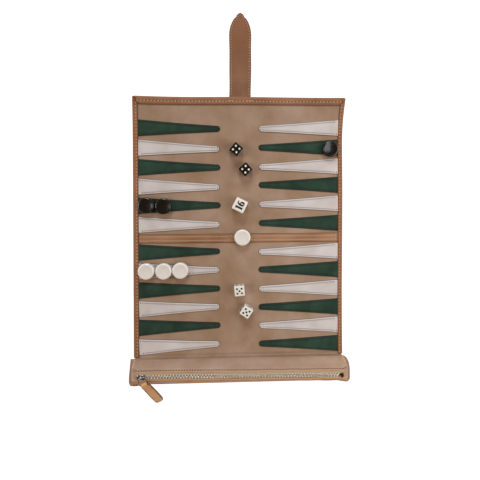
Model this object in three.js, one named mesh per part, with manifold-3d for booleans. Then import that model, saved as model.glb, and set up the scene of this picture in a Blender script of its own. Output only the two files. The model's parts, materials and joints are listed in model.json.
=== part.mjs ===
// Roll-up leather travel backgammon set: a suede playing mat with sewn-on points, a closing strap at
// its top edge, a zip pouch along its bottom edge, and the loose checkers, dice and doubling cube.
// Millimetres. The origin is the centre of the mat's flat underside: +X right, +Y towards the strap,
// +Z up. Each layer of leather is a solid of its own, and a thin glue line keeps layers apart.
import * as THREE from "three";
import { mergeVertices } from "three/addons/utils/BufferGeometryUtils.js";
import { RoundedBoxGeometry } from "three/addons/geometries/RoundedBoxGeometry.js";
import Module from "manifold-3d";

const wasm = await Module();
wasm.setup();

// ---- driving dimensions ----
const matWidth = 254;
const matLength = 315;
const matCorner = 2;
const glueLine = 0.2; // between two layers
const clearance = 0.3; // between two pieces that only touch

const backThickness = 1.8;
const suedeThickness = 1.0;
const trimThickness = 1.0; // borders, bar strip and points

const topBorderDepth = 9.8;
const leftBorderWidth = 6.6;
const rightBorderWidth = 5.6;
const barDepth = 10.2;
const barCentreY = -13.7;

const pointBaseHalf = 9.6;
const pointTipRadius = 3.3;
const rowsPerHalf = 6;
const upperHalf = { firstY: 119, pitch: 23.05, leftLength: 98, rightLength: 96.2 };
const lowerHalf = { firstY: -30.6, pitch: 22.65, leftLength: 97, rightLength: 97 };

const strapCentreX = 2.5;
const strapRootHalf = 12.9;
const strapHalf = 13.6;
const strapPointRadius = 34;
const strapTipY = 259.4;
const strapLean = 0.6; // degrees, towards +X
const strapPly = 1.2;
const hingeGap = 0.5; // the bare flexible seam between the mat and what is sewn to its edge

const keeperLength = 40;
const keeperWidth = 12;
const keeperThickness = 1.2;
const keeperCentreY = 76;

const pouchCentreX = 1.2;
const pouchHalfWidth = 133.4;
const pouchInnerY = -matLength / 2 - hingeGap;
const pouchDepth = 29.5;
const pouchEndDepth = 32.6; // the ends are sewn flat, so they spread a little deeper
const pouchHeight = 24;
const pouchWall = 1.4;
const seamHeight = 8.5; // height of the seam between the pouch's face and base
const seamHalf = 1.6; // half the thickness of the flat sewn ends
const seamWidth = 3.5;
const pouchTaper = 14;
const pouchCorner = 6; // at the front
const shoulderWidth = 9; // the right end sweeps in towards the mat
const shoulderDepth = 19;
const endFlare = 2.2; // the left end runs out towards the front

const zipCentreY = -171.6; // at the slider's rest
const zipSkew = 0.7; // degrees: the zip nears the front edge towards +X
const zipLeftX = -120.4;
const zipRightX = 123.6;
const windowBack = 5.2; // from the zip's centre line to the window's edge beside the mat
const windowFront = 3.2;
const windowCorner = 2.4;
const tapeThickness = 0.8;
const tapeHeight = 22.9;
const teethHeight = 2;
const teethBottom = 22.3;
const teethPitch = 4;
const teethGap = 0.5; // half the gap between the two rows
const tapeInner = 1.7; // from the zip's centre line to each tape's edge
const endStop = { length: 3.2, width: 5.2, height: 2.4 };

const sliderRestX = -113.5;
const sliderLength = 12;
const sliderWidth = 8.2;
const topPlate = 1.1;
const bottomPlate = 0.7;
const archInside = 3.2;
const archOutside = 5.2;
const archHeight = 3.3;
const archWidth = 2.2;

const wireRadius = 0.7;
const ringReach = 8.6;
const ringHalfWidth = 4.9;
const ringCorner = 2;
const pullHeading = 64; // degrees clockwise from +X
const ringDrop = 6; // degrees below level
const tabDrop = 31;

const tabLength = 37.5;
const tabHalfWidth = 4.9;
const tabNeckHalf = 3.4;
const tabNeckEnd = 1.2;
const tabThickness = 2.6;
const tabFoldRadius = 2.3;
const tabBoreRadius = 1.05;

const checkerRadius = 9.8;
const checkerHeight = 7;
const checkerEdge = 1.2;
const dieSize = 12.2;
const pipStep = 2.7;
const pipRadius = 1.3;
const pipDepth = 0.35;
const cubeSize = 15;

// ---- heights that follow ----
const suedeBottom = backThickness + glueLine;
const suedeTop = suedeBottom + suedeThickness;
const trimBottom = suedeTop + glueLine;
const trimTop = trimBottom + trimThickness;
const fieldLeft = -matWidth / 2 + leftBorderWidth;
const fieldRight = matWidth / 2 - rightBorderWidth;
const chainMiddle = teethBottom + teethHeight / 2;
const sliderRoom = teethHeight / 2 + 0.2; // from the chain's middle to each plate
const strapRootY = matLength / 2 + hingeGap + 0.15; // the lean brings one corner nearer the mat
const restGap = 0.1; // a loose piece above what it lies on

// ---- colours ----
const suedeLeather = new THREE.MeshStandardMaterial({ color: 0xa38570, roughness: 0.95, metalness: 0 });
const brownLeather = new THREE.MeshStandardMaterial({ color: 0x8c5f41, roughness: 0.6, metalness: 0 });
const tanLeather = new THREE.MeshStandardMaterial({ color: 0xa5826c, roughness: 0.55, metalness: 0 });
const tabLeather = new THREE.MeshStandardMaterial({ color: 0xc39164, roughness: 0.5, metalness: 0 });
const greenLeather = new THREE.MeshStandardMaterial({ color: 0x2c463c, roughness: 0.75, metalness: 0 });
const whiteLeather = new THREE.MeshStandardMaterial({ color: 0xd2c6c1, roughness: 0.7, metalness: 0 });
const zipTape = new THREE.MeshStandardMaterial({ color: 0xaa9678, roughness: 0.9, metalness: 0 });
const zipMetal = new THREE.MeshStandardMaterial({ color: 0xb9b7b3, roughness: 0.3, metalness: 1 });
const darkMetal = new THREE.MeshStandardMaterial({ color: 0x4a3a2c, roughness: 0.5, metalness: 1 });
const blackResin = new THREE.MeshStandardMaterial({ color: 0x110f0c, roughness: 0.25, metalness: 0 });
const ivoryResin = new THREE.MeshStandardMaterial({ color: 0xe3d9c9, roughness: 0.3, metalness: 0 });

// ---- helpers ----
function weld(geometry) {
  const bare = geometry.clone();
  bare.deleteAttribute("normal");
  bare.deleteAttribute("uv");
  return mergeVertices(bare, 1e-4);
}

function toSolid(geometry) {
  const welded = weld(geometry);
  const count = welded.attributes.position.count;
  const triVerts = welded.index ? welded.index.array : Array.from({ length: count }, (_, i) => i);
  return new wasm.Manifold(
    new wasm.Mesh({
      numProp: 3,
      vertProperties: new Float32Array(welded.attributes.position.array),
      triVerts: new Uint32Array(triVerts),
    }),
  );
}

function toGeometry(solid) {
  const mesh = solid.getMesh();
  const geometry = new THREE.BufferGeometry();
  geometry.setAttribute("position", new THREE.BufferAttribute(mesh.vertProperties, 3));
  geometry.setIndex(new THREE.BufferAttribute(mesh.triVerts, 1));
  return geometry;
}

function box(x0, x1, y0, y1, z0, z1) {
  const geometry = new THREE.BoxGeometry(x1 - x0, y1 - y0, z1 - z0);
  return geometry.translate((x0 + x1) / 2, (y0 + y1) / 2, (z0 + z1) / 2);
}

function plate(shape, bottom, thickness, curveSegments = 6) {
  const options = { depth: thickness, bevelEnabled: false, curveSegments };
  return new THREE.ExtrudeGeometry(shape, options).translate(0, 0, bottom);
}

// A rectangle with its own radius at each corner, named by the side it is on.
function roundedRectangle(x0, x1, y0, y1, { lowLeft, lowRight, highRight, highLeft }) {
  const shape = new THREE.Shape();
  shape.moveTo(x0 + lowLeft, y0);
  shape.lineTo(x1 - lowRight, y0);
  shape.absarc(x1 - lowRight, y0 + lowRight, lowRight, -Math.PI / 2, 0);
  shape.lineTo(x1, y1 - highRight);
  shape.absarc(x1 - highRight, y1 - highRight, highRight, 0, Math.PI / 2);
  shape.lineTo(x0 + highLeft, y1);
  shape.absarc(x0 + highLeft, y1 - highLeft, highLeft, Math.PI / 2, Math.PI);
  shape.lineTo(x0, y0 + lowLeft);
  shape.absarc(x0 + lowLeft, y0 + lowLeft, lowLeft, Math.PI, 1.5 * Math.PI);
  return shape;
}

function evenCorners(radius) {
  return { lowLeft: radius, lowRight: radius, highRight: radius, highLeft: radius };
}

// A skin over rings of points. An open stack of rings is capped at both ends; a closed one is a loop.
function skin(rings, closed) {
  const count = rings[0].length;
  const points = rings.flat();
  const index = [];
  const steps = closed ? rings.length : rings.length - 1;
  for (let ring = 0; ring < steps; ring++) {
    const next = (ring + 1) % rings.length;
    for (let i = 0; i < count; i++) {
      const j = (i + 1) % count;
      const [a, b, c, d] = [ring * count + i, ring * count + j, next * count + j, next * count + i];
      index.push(a, b, c, a, c, d);
    }
  }
  if (!closed) {
    const flat = rings[0].map((p) => new THREE.Vector2(p.y, p.z));
    const last = (rings.length - 1) * count;
    for (const [a, b, c] of THREE.ShapeUtils.triangulateShape(flat, [])) {
      index.push(c, b, a, last + a, last + b, last + c);
    }
  }
  const geometry = new THREE.BufferGeometry();
  geometry.setAttribute("position", new THREE.Float32BufferAttribute(points.flatMap((p) => p.toArray()), 3));
  geometry.setIndex(index);
  return geometry;
}

function addPart(parent, name, geometry, material) {
  const mesh = new THREE.Mesh(geometry, material);
  mesh.name = name;
  parent.add(mesh);
  return mesh;
}

// ---- the mat ----
function backPanel() {
  const [w, l] = [matWidth / 2, matLength / 2];
  const sheet = toSolid(plate(roundedRectangle(-w, w, -l, l, evenCorners(matCorner)), 0, backThickness));
  const [x, y] = [keeperLength / 2 + clearance, keeperWidth / 2 + clearance];
  const recess = box(
    strapCentreX - x, strapCentreX + x, keeperCentreY - y, keeperCentreY + y, -1, keeperThickness + glueLine,
  );
  return toGeometry(sheet.subtract(toSolid(recess)));
}

function keeper() {
  const [x, y] = [keeperLength / 2, keeperWidth / 2];
  const shape = roundedRectangle(-x, x, -y, y, evenCorners(1.5));
  return plate(shape, 0, keeperThickness, 3).translate(strapCentreX, keeperCentreY, 0);
}

// The top border runs the full width; the side borders meet it at 45 degree mitres.
function topBorder() {
  const [w, l] = [matWidth / 2, matLength / 2];
  const shape = new THREE.Shape();
  shape.moveTo(-w + matCorner, l);
  shape.absarc(-w + matCorner, l - matCorner, matCorner, Math.PI / 2, Math.PI);
  shape.lineTo(-w, l - matCorner - 1);
  shape.lineTo(fieldLeft, l - topBorderDepth);
  shape.lineTo(fieldRight, l - topBorderDepth);
  shape.lineTo(w, l - matCorner - 1);
  shape.absarc(w - matCorner, l - matCorner, matCorner, 0, Math.PI / 2);
  return plate(shape, trimBottom, trimThickness, 3);
}

function sideBorder(side) {
  const [w, l] = [matWidth / 2, matLength / 2];
  const inner = side < 0 ? fieldLeft : fieldRight;
  const mitreGap = clearance * 1.6;
  const shape = new THREE.Shape();
  shape.moveTo(side * w, -l + matCorner);
  shape.lineTo(side * w, l - matCorner - 1 - mitreGap);
  shape.lineTo(inner, l - topBorderDepth - mitreGap);
  shape.lineTo(inner, -l);
  shape.lineTo(side * (w - matCorner), -l);
  return plate(shape, trimBottom, trimThickness);
}

function suedePanel(y0, y1) {
  return box(-matWidth / 2 + 1, matWidth / 2 - 1, y0, y1, suedeBottom, suedeTop);
}

// One point: a long triangle with a round tip, pointing along +X from its base at X = 0.
function pointShape(length) {
  const tipCentre = length - pointTipRadius;
  const slope = Math.asin((pointBaseHalf - pointTipRadius) / tipCentre);
  const shape = new THREE.Shape();
  shape.moveTo(0, pointBaseHalf);
  shape.lineTo(0, -pointBaseHalf);
  shape.absarc(tipCentre, 0, pointTipRadius, -Math.PI / 2 + slope, Math.PI / 2 - slope);
  return shape;
}

function addPoints(parent) {
  for (const [half, rows] of [[upperHalf, "upper"], [lowerHalf, "lower"]]) {
    for (let row = 0; row < rowsPerHalf; row++) {
      for (const side of [-1, 1]) {
        const green = (row + (side > 0 ? 1 : 0)) % 2 === 0;
        const name = `point_${rows}_${side < 0 ? "left" : "right"}_${row + 1}`;
        const shape = pointShape(side < 0 ? half.leftLength : half.rightLength);
        const geometry = plate(shape, 0, trimThickness, 4);
        const point = addPart(parent, name, geometry, green ? greenLeather : whiteLeather);
        point.rotation.z = side < 0 ? 0 : Math.PI;
        const baseX = side < 0 ? fieldLeft + glueLine : fieldRight - glueLine;
        point.position.set(baseX, half.firstY - row * half.pitch, trimBottom);
      }
    }
  }
}

function addMat(parent) {
  const l = matLength / 2;
  const barHalf = barDepth / 2;
  addPart(parent, "back_panel", backPanel(), brownLeather);
  addPart(parent, "strap_keeper", keeper(), brownLeather);
  const join = barCentreY;
  addPart(parent, "suede_upper", suedePanel(join + clearance / 2, l - 1), suedeLeather);
  addPart(parent, "suede_lower", suedePanel(-l + 1, join - clearance / 2), suedeLeather);
  const bar = box(
    fieldLeft + clearance, fieldRight - clearance, join - barHalf, join + barHalf, trimBottom, trimTop,
  );
  addPart(parent, "bar_strip", bar, brownLeather);
  addPart(parent, "top_border", topBorder(), brownLeather);
  addPart(parent, "left_border", sideBorder(-1), brownLeather);
  addPart(parent, "right_border", sideBorder(1), brownLeather);
  addPoints(parent);
}

// ---- the strap: two plies with a pointed-arch end ----
function strapShape() {
  const arcRise = Math.sqrt(strapPointRadius ** 2 - (strapPointRadius - strapHalf) ** 2);
  const springY = strapTipY - strapRootY - arcRise;
  const sweep = Math.acos((strapPointRadius - strapHalf) / strapPointRadius);
  const offset = strapPointRadius - strapHalf;
  const shape = new THREE.Shape();
  shape.moveTo(-strapRootHalf, 0);
  shape.lineTo(strapRootHalf, 0);
  shape.lineTo(strapHalf, springY);
  shape.absarc(-offset, springY, strapPointRadius, 0, sweep);
  shape.absarc(offset, springY, strapPointRadius, Math.PI - sweep, Math.PI);
  return shape;
}

function addStrap(parent) {
  const strap = new THREE.Group();
  strap.position.set(strapCentreX, strapRootY, 0);
  strap.rotation.z = -THREE.MathUtils.degToRad(strapLean);
  parent.add(strap);
  addPart(strap, "strap_front", plate(strapShape(), strapPly + glueLine, strapPly, 8), brownLeather);
  addPart(strap, "strap_back", plate(strapShape(), 0, strapPly, 8), brownLeather);
}

// ---- the pouch ----
// The full cross-section across Y and Z: a flat foot, a steep wall beside the mat, a ridge for the
// zip and a front that falls away roundly.
function pouchSection() {
  const inner = pouchInnerY;
  const outer = pouchInnerY - pouchDepth;
  const shape = new THREE.Shape();
  shape.moveTo(inner, 0);
  shape.lineTo(inner, seamHeight);
  shape.lineTo(inner - 0.2, 14);
  shape.bezierCurveTo(inner - 0.6, 21, inner - 4, pouchHeight, zipCentreY + windowBack, pouchHeight);
  shape.lineTo(zipCentreY - windowFront, pouchHeight - 0.2);
  shape.bezierCurveTo(outer + 6.5, pouchHeight - 3.5, outer, 15, outer, seamHeight);
  shape.quadraticCurveTo(outer, 0, outer + 4.5, 0);
  return shape.getPoints(5);
}

// Fullness of the pouch: 0 in the flat sewn end, 1 where the section is whole.
function fullness(distance) {
  const along = THREE.MathUtils.clamp((distance - seamWidth) / pouchTaper, 0, 1);
  return Math.sqrt(1 - (1 - along) ** 3);
}

// How far the zip has moved towards the front at a place along the pouch.
function zipDrift(x) {
  return (x - sliderRestX) * Math.tan(THREE.MathUtils.degToRad(zipSkew));
}

// One ring of the pouch's skin. inset moves the ring inwards by a wall's thickness. The ridge that
// carries the zip drifts with it.
function pouchRing(x, full, inset) {
  const depth = THREE.MathUtils.lerp(pouchEndDepth, pouchDepth, full);
  const middleY = pouchInnerY - pouchDepth / 2;
  const shrinkY = 1 - (2 * inset) / pouchDepth;
  return pouchSection().map(({ x: y, y: z }) => {
    const side = z > seamHeight ? pouchHeight - seamHeight : seamHeight;
    const flat = seamHalf / side;
    const rise = (z - seamHeight) * (1 - inset / side) * THREE.MathUtils.lerp(flat, 1, full);
    const ridge = THREE.MathUtils.smoothstep(z, 14, 22);
    const across = (y - pouchInnerY) * (depth / pouchDepth) + pouchInnerY - zipDrift(x) * ridge;
    const inward = (across - middleY) * shrinkY + middleY;
    return new THREE.Vector3(x, inset ? inward : across, seamHeight + rise);
  });
}

function pouchSkin(inset, endMargin) {
  const rings = [];
  const distances = [endMargin, seamWidth, 4, 5, 7, 10, seamWidth + pouchTaper, 60, 100];
  const stations = distances.filter((d, i) => i === 0 || d > endMargin);
  for (const side of [-1, 1]) {
    const ordered = side < 0 ? stations : [...stations].reverse();
    for (const distance of ordered) {
      rings.push(pouchRing(side * (pouchHalfWidth - distance), fullness(distance), inset));
    }
  }
  return skin(rings, false);
}

function zipWindow() {
  const [x0, x1] = [zipLeftX - sliderRestX, zipRightX - sliderRestX];
  const outline = roundedRectangle(x0, x1, -windowFront, windowBack, evenCorners(windowCorner));
  const cutter = plate(outline, 18, 10, 3).rotateZ(-THREE.MathUtils.degToRad(zipSkew));
  return cutter.translate(sliderRestX - pouchCentreX, zipCentreY, 0);
}

function pouchOutline() {
  const [w, r] = [pouchHalfWidth, pouchCorner];
  const back = pouchInnerY;
  const front = pouchInnerY - pouchEndDepth;
  const shape = new THREE.Shape();
  shape.moveTo(-w + r, front);
  shape.lineTo(w - r, front);
  shape.absarc(w - r, front + r, r, -Math.PI / 2, 0);
  shape.lineTo(w, back - shoulderDepth);
  shape.absellipse(w - shoulderWidth, back - shoulderDepth, shoulderWidth, shoulderDepth, 0, Math.PI / 2);
  shape.lineTo(-w + endFlare, back);
  shape.lineTo(-w, front + r + 4);
  shape.lineTo(-w, front + r);
  shape.absarc(-w + r, front + r, r, Math.PI, 1.5 * Math.PI);
  return plate(shape, -1, 40, 5);
}

function addPouchShell(parent) {
  const outside = toSolid(pouchSkin(0, 0));
  const inside = toSolid(pouchSkin(pouchWall, seamWidth + 1.5));
  const shell = outside.intersect(toSolid(pouchOutline())).subtract(inside).subtract(toSolid(zipWindow()));
  const far = 200;
  const above = toSolid(box(-far, far, -far, far, seamHeight + glueLine / 2, far));
  const below = toSolid(box(-far, far, -far, far, -far, seamHeight - glueLine / 2));
  addPart(parent, "pouch_face", toGeometry(shell.intersect(above)), tanLeather).position.x = pouchCentreX;
  addPart(parent, "pouch_base", toGeometry(shell.intersect(below)), tanLeather).position.x = pouchCentreX;
}

// ---- the zip: all of it is drawn along +X from the slider's rest, in a group that carries the skew ----
const zipStart = zipLeftX - sliderRestX;
const zipEnd = zipRightX - sliderRestX;

function zipLine(parent) {
  const line = new THREE.Group();
  line.position.set(sliderRestX, zipCentreY, 0);
  line.rotation.z = -THREE.MathUtils.degToRad(zipSkew);
  parent.add(line);
  return line;
}

function addTapes(parent) {
  const [x0, x1] = [zipStart + clearance, zipEnd - clearance];
  const [square, round] = [0.1, windowCorner - clearance];
  const back = roundedRectangle(x0, x1, tapeInner, windowBack - clearance, {
    lowLeft: square, lowRight: square, highRight: round, highLeft: round,
  });
  const front = roundedRectangle(x0 + 1, x1 - 1, -windowFront + clearance, -tapeInner, evenCorners(square));
  addPart(parent, "zip_tape_upper", plate(back, tapeHeight, tapeThickness, 3), zipTape);
  addPart(parent, "zip_tape_lower", plate(front, tapeHeight, tapeThickness, 3), zipTape);
}

// One row of teeth on its spine, cut out of a strip as a comb whose teeth point to the other row.
function teethComb(side) {
  const [x0, x1] = [zipStart + 2, zipEnd - 5];
  const count = Math.floor((x1 - x0) / teethPitch);
  const [spineOuter, spineInner, tip] = [teethGap + 1, teethGap + 0.6, teethGap];
  const shape = new THREE.Shape();
  shape.moveTo(x0, side * spineOuter);
  for (let tooth = 0; tooth < count; tooth++) {
    const start = x0 + tooth * teethPitch + (side > 0 ? 0 : teethPitch / 2);
    shape.lineTo(start, side * spineInner);
    shape.lineTo(start + 0.3, side * tip);
    shape.lineTo(start + 1.5, side * tip);
    shape.lineTo(start + 1.8, side * spineInner);
  }
  shape.lineTo(x1, side * spineInner);
  shape.lineTo(x1, side * spineOuter);
  return plate(shape, teethBottom, teethHeight);
}

function addTeeth(parent) {
  addPart(parent, "zip_teeth_upper", teethComb(1), zipMetal);
  addPart(parent, "zip_teeth_lower", teethComb(-1), zipMetal);
  const x = zipEnd - 2.2;
  const stop = new RoundedBoxGeometry(endStop.length, endStop.width, endStop.height, 1, 0.4);
  const stopCut = toSolid(stop.translate(x, 0, chainMiddle)).subtract(tapeSlot(x));
  addPart(parent, "zip_end_stop", toGeometry(stopCut), darkMetal);
}

// Room for the two tapes' edges in the end stop.
function tapeSlot(x) {
  const inner = tapeInner - clearance;
  const bottom = tapeHeight - clearance;
  const top = tapeHeight + tapeThickness + clearance;
  const upper = toSolid(box(x - 5, x + 5, inner, 5, bottom, top));
  const lower = toSolid(box(x - 5, x + 5, -5, -inner, bottom, top));
  return upper.add(lower);
}

// The slider: a plate above and a plate under the chain, a thin neck between the rows, and an arch
// on top that the pull ring hangs in. Its own origin is at the middle of the chain's height.
function sliderPlan(inset) {
  const [x, y] = [sliderLength / 2 - inset, sliderWidth / 2 - inset];
  const shape = new THREE.Shape();
  shape.moveTo(-x, -y + 2);
  shape.quadraticCurveTo(-x, -y, -x + 3, -y);
  shape.lineTo(x - 4, -y + 0.6);
  shape.quadraticCurveTo(x, -y + 1, x, 0);
  shape.quadraticCurveTo(x, y - 1, x - 4, y - 0.6);
  shape.lineTo(-x + 3, y);
  shape.quadraticCurveTo(-x, y, -x, y - 2);
  return shape;
}

function slider() {
  const top = toSolid(plate(sliderPlan(0), sliderRoom, topPlate, 3));
  const bottom = toSolid(plate(sliderPlan(1), -sliderRoom - bottomPlate, bottomPlate, 3));
  const neckHalf = teethGap - clearance / 2;
  const neckDepth = sliderRoom + 0.3;
  const neck = toSolid(box(-sliderLength / 2 + 1, 0, -neckHalf, neckHalf, -neckDepth, neckDepth));
  const roof = sliderRoom + topPlate;
  const wide = archOutside / 2;
  const arch = toSolid(box(-archWidth / 2, archWidth / 2, -wide, wide, roof - 0.3, roof + archHeight));
  const open = archInside / 2;
  const hole = toSolid(box(-5, 5, -open, open, roof, roof + archHeight - 1));
  return toGeometry(top.add(bottom).add(neck).add(arch.subtract(hole)));
}

// The pull ring is a flat loop of wire with round ends, lying in its own X-Y plane with the wire in
// the arch at X = 0 and the straight bar that carries the tab at X = ringReach.
function ringPath() {
  const w = ringHalfWidth;
  const r = ringCorner;
  const path = new THREE.Shape();
  path.moveTo(0, -1.4);
  path.lineTo(0, 1.4);
  path.quadraticCurveTo(0, w, w - 0.2, w);
  path.lineTo(ringReach - r, w);
  path.absarc(ringReach - r, w - r, r, Math.PI / 2, 0, true);
  path.lineTo(ringReach, -w + r);
  path.absarc(ringReach - r, -w + r, r, 0, -Math.PI / 2, true);
  path.lineTo(w - 0.2, -w);
  path.quadraticCurveTo(0, -w, 0, -1.4);
  const points = path.getPoints(4);
  return points.filter((p, i) => p.distanceTo(points[(i + 1) % points.length]) > 1e-6);
}

function pullRing() {
  const points = ringPath();
  const sides = 7;
  const rings = points.map((here, i) => {
    const before = points[(i + points.length - 1) % points.length];
    const after = points[(i + 1) % points.length];
    const along = after.clone().sub(before).normalize();
    const out = new THREE.Vector2(along.y, -along.x);
    return Array.from({ length: sides }, (_, k) => {
      const turn = (2 * Math.PI * k) / sides;
      const away = out.clone().multiplyScalar(wireRadius * Math.cos(turn));
      return new THREE.Vector3(here.x + away.x, here.y + away.y, -wireRadius * Math.sin(turn));
    });
  });
  return skin(rings, true);
}

// The pull tab: one leather strip folded round the bar, with both plies sewn together. Its own origin
// is the bar's centre; it runs along +X, narrow at the fold and wider beyond the ring.
function pullTab() {
  const side = new THREE.Shape();
  const half = tabThickness / 2;
  const start = Math.PI - 0.9;
  side.moveTo(6, half);
  side.quadraticCurveTo(3.4, half, tabFoldRadius * Math.cos(0.9), tabFoldRadius * Math.sin(0.9));
  side.absarc(0, 0, tabFoldRadius, 0.9, start, false);
  side.absarc(0, 0, tabFoldRadius, start, 2 * Math.PI - 0.9, false);
  side.quadraticCurveTo(3.4, -half, 6, -half);
  side.lineTo(tabLength, -half);
  side.lineTo(tabLength, half);
  const bore = new THREE.Path();
  bore.absarc(0, 0, tabBoreRadius, 0, 2 * Math.PI, true);
  side.holes.push(bore);
  const options = { depth: 2 * tabHalfWidth, bevelEnabled: false, curveSegments: 4 };
  const strip = new THREE.ExtrudeGeometry(side, options).rotateX(Math.PI / 2).translate(0, tabHalfWidth, 0);
  const plan = new THREE.Shape();
  const [n, w] = [tabNeckHalf, tabHalfWidth];
  plan.moveTo(-5, -n);
  plan.lineTo(tabNeckEnd, -n);
  plan.quadraticCurveTo(tabNeckEnd + 1.6, -w + 0.6, tabNeckEnd + 4, -w + 0.3);
  plan.lineTo(tabLength - 4, -w);
  plan.quadraticCurveTo(tabLength, -w, tabLength, -w + 3);
  plan.lineTo(tabLength, w - 3);
  plan.quadraticCurveTo(tabLength, w, tabLength - 4, w);
  plan.lineTo(tabNeckEnd + 4, w - 0.3);
  plan.quadraticCurveTo(tabNeckEnd + 1.6, w - 0.6, tabNeckEnd, n);
  plan.lineTo(-5, n);
  return toGeometry(toSolid(strip).intersect(toSolid(plate(plan, -5, 10, 4))));
}

// The slider, the ring in its arch and the tab on the ring, each in a group at its own pivot. The
// ring and tab lean over the front of the pouch.
function addPull(parent) {
  const place = new THREE.Group();
  place.position.z = chainMiddle;
  parent.add(place);
  addPart(place, "zip_slider", slider(), zipMetal);
  const heading = new THREE.Group();
  heading.position.z = sliderRoom + topPlate + (archHeight - 1) / 2 + 0.1;
  heading.rotation.z = -THREE.MathUtils.degToRad(pullHeading - zipSkew);
  place.add(heading);
  const ringGroup = new THREE.Group();
  ringGroup.rotation.y = THREE.MathUtils.degToRad(ringDrop);
  heading.add(ringGroup);
  addPart(ringGroup, "pull_ring", pullRing(), zipMetal);
  const tabGroup = new THREE.Group();
  tabGroup.position.x = ringReach;
  tabGroup.rotation.y = THREE.MathUtils.degToRad(tabDrop - ringDrop);
  ringGroup.add(tabGroup);
  addPart(tabGroup, "pull_tab", pullTab(), tabLeather);
}

// ---- checkers, dice and the doubling cube ----
function checkerProfile(bottom) {
  const [r, h, e] = [checkerRadius, checkerHeight, checkerEdge];
  return [[r - e, bottom], [r, bottom + e], [r, bottom + h - e], [r - e, bottom + h]];
}

function turned(outline, sides) {
  const points = outline.map(([radius, z]) => new THREE.Vector2(radius, z));
  return new THREE.LatheGeometry(points, sides).rotateX(Math.PI / 2);
}

function looseChecker() {
  return turned([[0, 0], ...checkerProfile(0), [0, checkerHeight]], 24);
}

// Stored checkers lie face to face in a row along +X, with a groove at each meeting edge.
function checkerRoll(count) {
  const outline = [[0, 0]];
  for (let i = 0; i < count; i++) {
    const rim = checkerProfile(i * checkerHeight);
    outline.push(...(i < count - 1 ? rim.slice(0, 3) : rim));
  }
  outline.push([0, count * checkerHeight]);
  return turned(outline, 14).rotateY(Math.PI / 2);
}

const looseCheckers = [
  ["checker_white_1", ivoryResin, -110.6, -52.0],
  ["checker_white_2", ivoryResin, -90.0, -52.2],
  ["checker_white_3", ivoryResin, -70.1, -51.6],
  ["checker_white_4", ivoryResin, 4.4, -12.6],
  ["checker_black_1", blackResin, -110.2, 26.7],
  ["checker_black_2", blackResin, -89.9, 25.7],
  ["checker_black_3", blackResin, 111.4, 93.6],
];

function addCheckers(parent) {
  for (const [name, material, x, y] of looseCheckers) {
    addPart(parent, name, looseChecker(), material).position.set(x, y, trimTop + restGap);
  }
}

function addStoredCheckers(parent) {
  const floor = pouchWall + restGap;
  const y = pouchInnerY - pouchDepth / 2 + 0.6;
  const rolls = [
    ["stored_black_checkers", blackResin, 12, -115],
    ["stored_white_checkers", ivoryResin, 11, -30],
  ];
  for (const [name, material, count, x] of rolls) {
    const roll = addPart(parent, name, checkerRoll(count), material);
    roll.position.set(x, y, floor + checkerRadius);
  }
}

// Pip places on a face, in steps from its centre.
const pipPair = [[-1, -1], [1, 1]];
const pipFour = [...pipPair, [-1, 1], [1, -1]];
const pipMiddle = [[0, 0]];
const pipPlaces = {
  1: pipMiddle,
  2: pipPair,
  3: [...pipPair, ...pipMiddle],
  4: pipFour,
  5: [...pipFour, ...pipMiddle],
  6: [...pipFour, [0, -1], [0, 1]],
};
// A die with the named number up; opposite faces add to seven. The front face is the one at -Y.
function die(up, front, right) {
  const half = dieSize / 2;
  let solid = toSolid(new RoundedBoxGeometry(dieSize, dieSize, dieSize, 1, 1));
  const turns = {
    [up]: [0, 0, 0],
    [7 - up]: [Math.PI, 0, 0],
    [front]: [Math.PI / 2, 0, 0],
    [7 - front]: [-Math.PI / 2, 0, 0],
    [right]: [0, Math.PI / 2, 0],
    [7 - right]: [0, -Math.PI / 2, 0],
  };
  for (const [number, turn] of Object.entries(turns)) {
    for (const [x, y] of pipPlaces[number]) {
      const pip = new THREE.CylinderGeometry(pipRadius, pipRadius, 1, 6).rotateX(Math.PI / 2);
      pip.translate(x * pipStep, y * pipStep, half + 0.5 - pipDepth);
      pip.applyMatrix4(new THREE.Matrix4().makeRotationFromEuler(new THREE.Euler(...turn)));
      solid = solid.subtract(toSolid(pip));
    }
  }
  return toGeometry(solid);
}

const looseDice = [
  ["die_black_1", blackResin, 4, 1, 5, -2.4, 93.2, -39.5],
  ["die_black_2", blackResin, 4, 2, 6, 8.5, 69.3, -48.3],
  ["die_white_1", ivoryResin, 5, 3, 1, 0.5, -75.7, 5],
  ["die_white_2", ivoryResin, 5, 4, 1, 8.6, -101, -34],
];

function addDice(parent) {
  for (const [name, material, up, front, right, x, y, turn] of looseDice) {
    const piece = addPart(parent, name, die(up, front, right), material);
    piece.position.set(x, y, suedeTop + restGap + dieSize / 2);
    piece.rotation.z = THREE.MathUtils.degToRad(turn);
  }
  const cube = new RoundedBoxGeometry(cubeSize, cubeSize, cubeSize, 2, 1.6);
  const doubling = addPart(parent, "doubling_cube", cube, ivoryResin);
  doubling.position.set(1.6, 26.6, suedeTop + restGap + cubeSize / 2);
  doubling.rotation.z = THREE.MathUtils.degToRad(-27);
}

// ---- the whole set ----
const set = new THREE.Group();
addMat(set);
addStrap(set);
addPouchShell(set);
const zip = zipLine(set);
addTapes(zip);
addTeeth(zip);
addPull(zip);
addStoredCheckers(set);
addCheckers(set);
addDice(set);

export default set;
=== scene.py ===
"""Roll-up leather backgammon set: the fine surfaces, stitching, materials, light and camera.

Shapes are built in millimetres in the row frame and scaled to metres when a mesh is made.
"""
import json
import math

import bmesh
import bpy
import numpy as np
from mathutils import Matrix, Vector, noise


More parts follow.
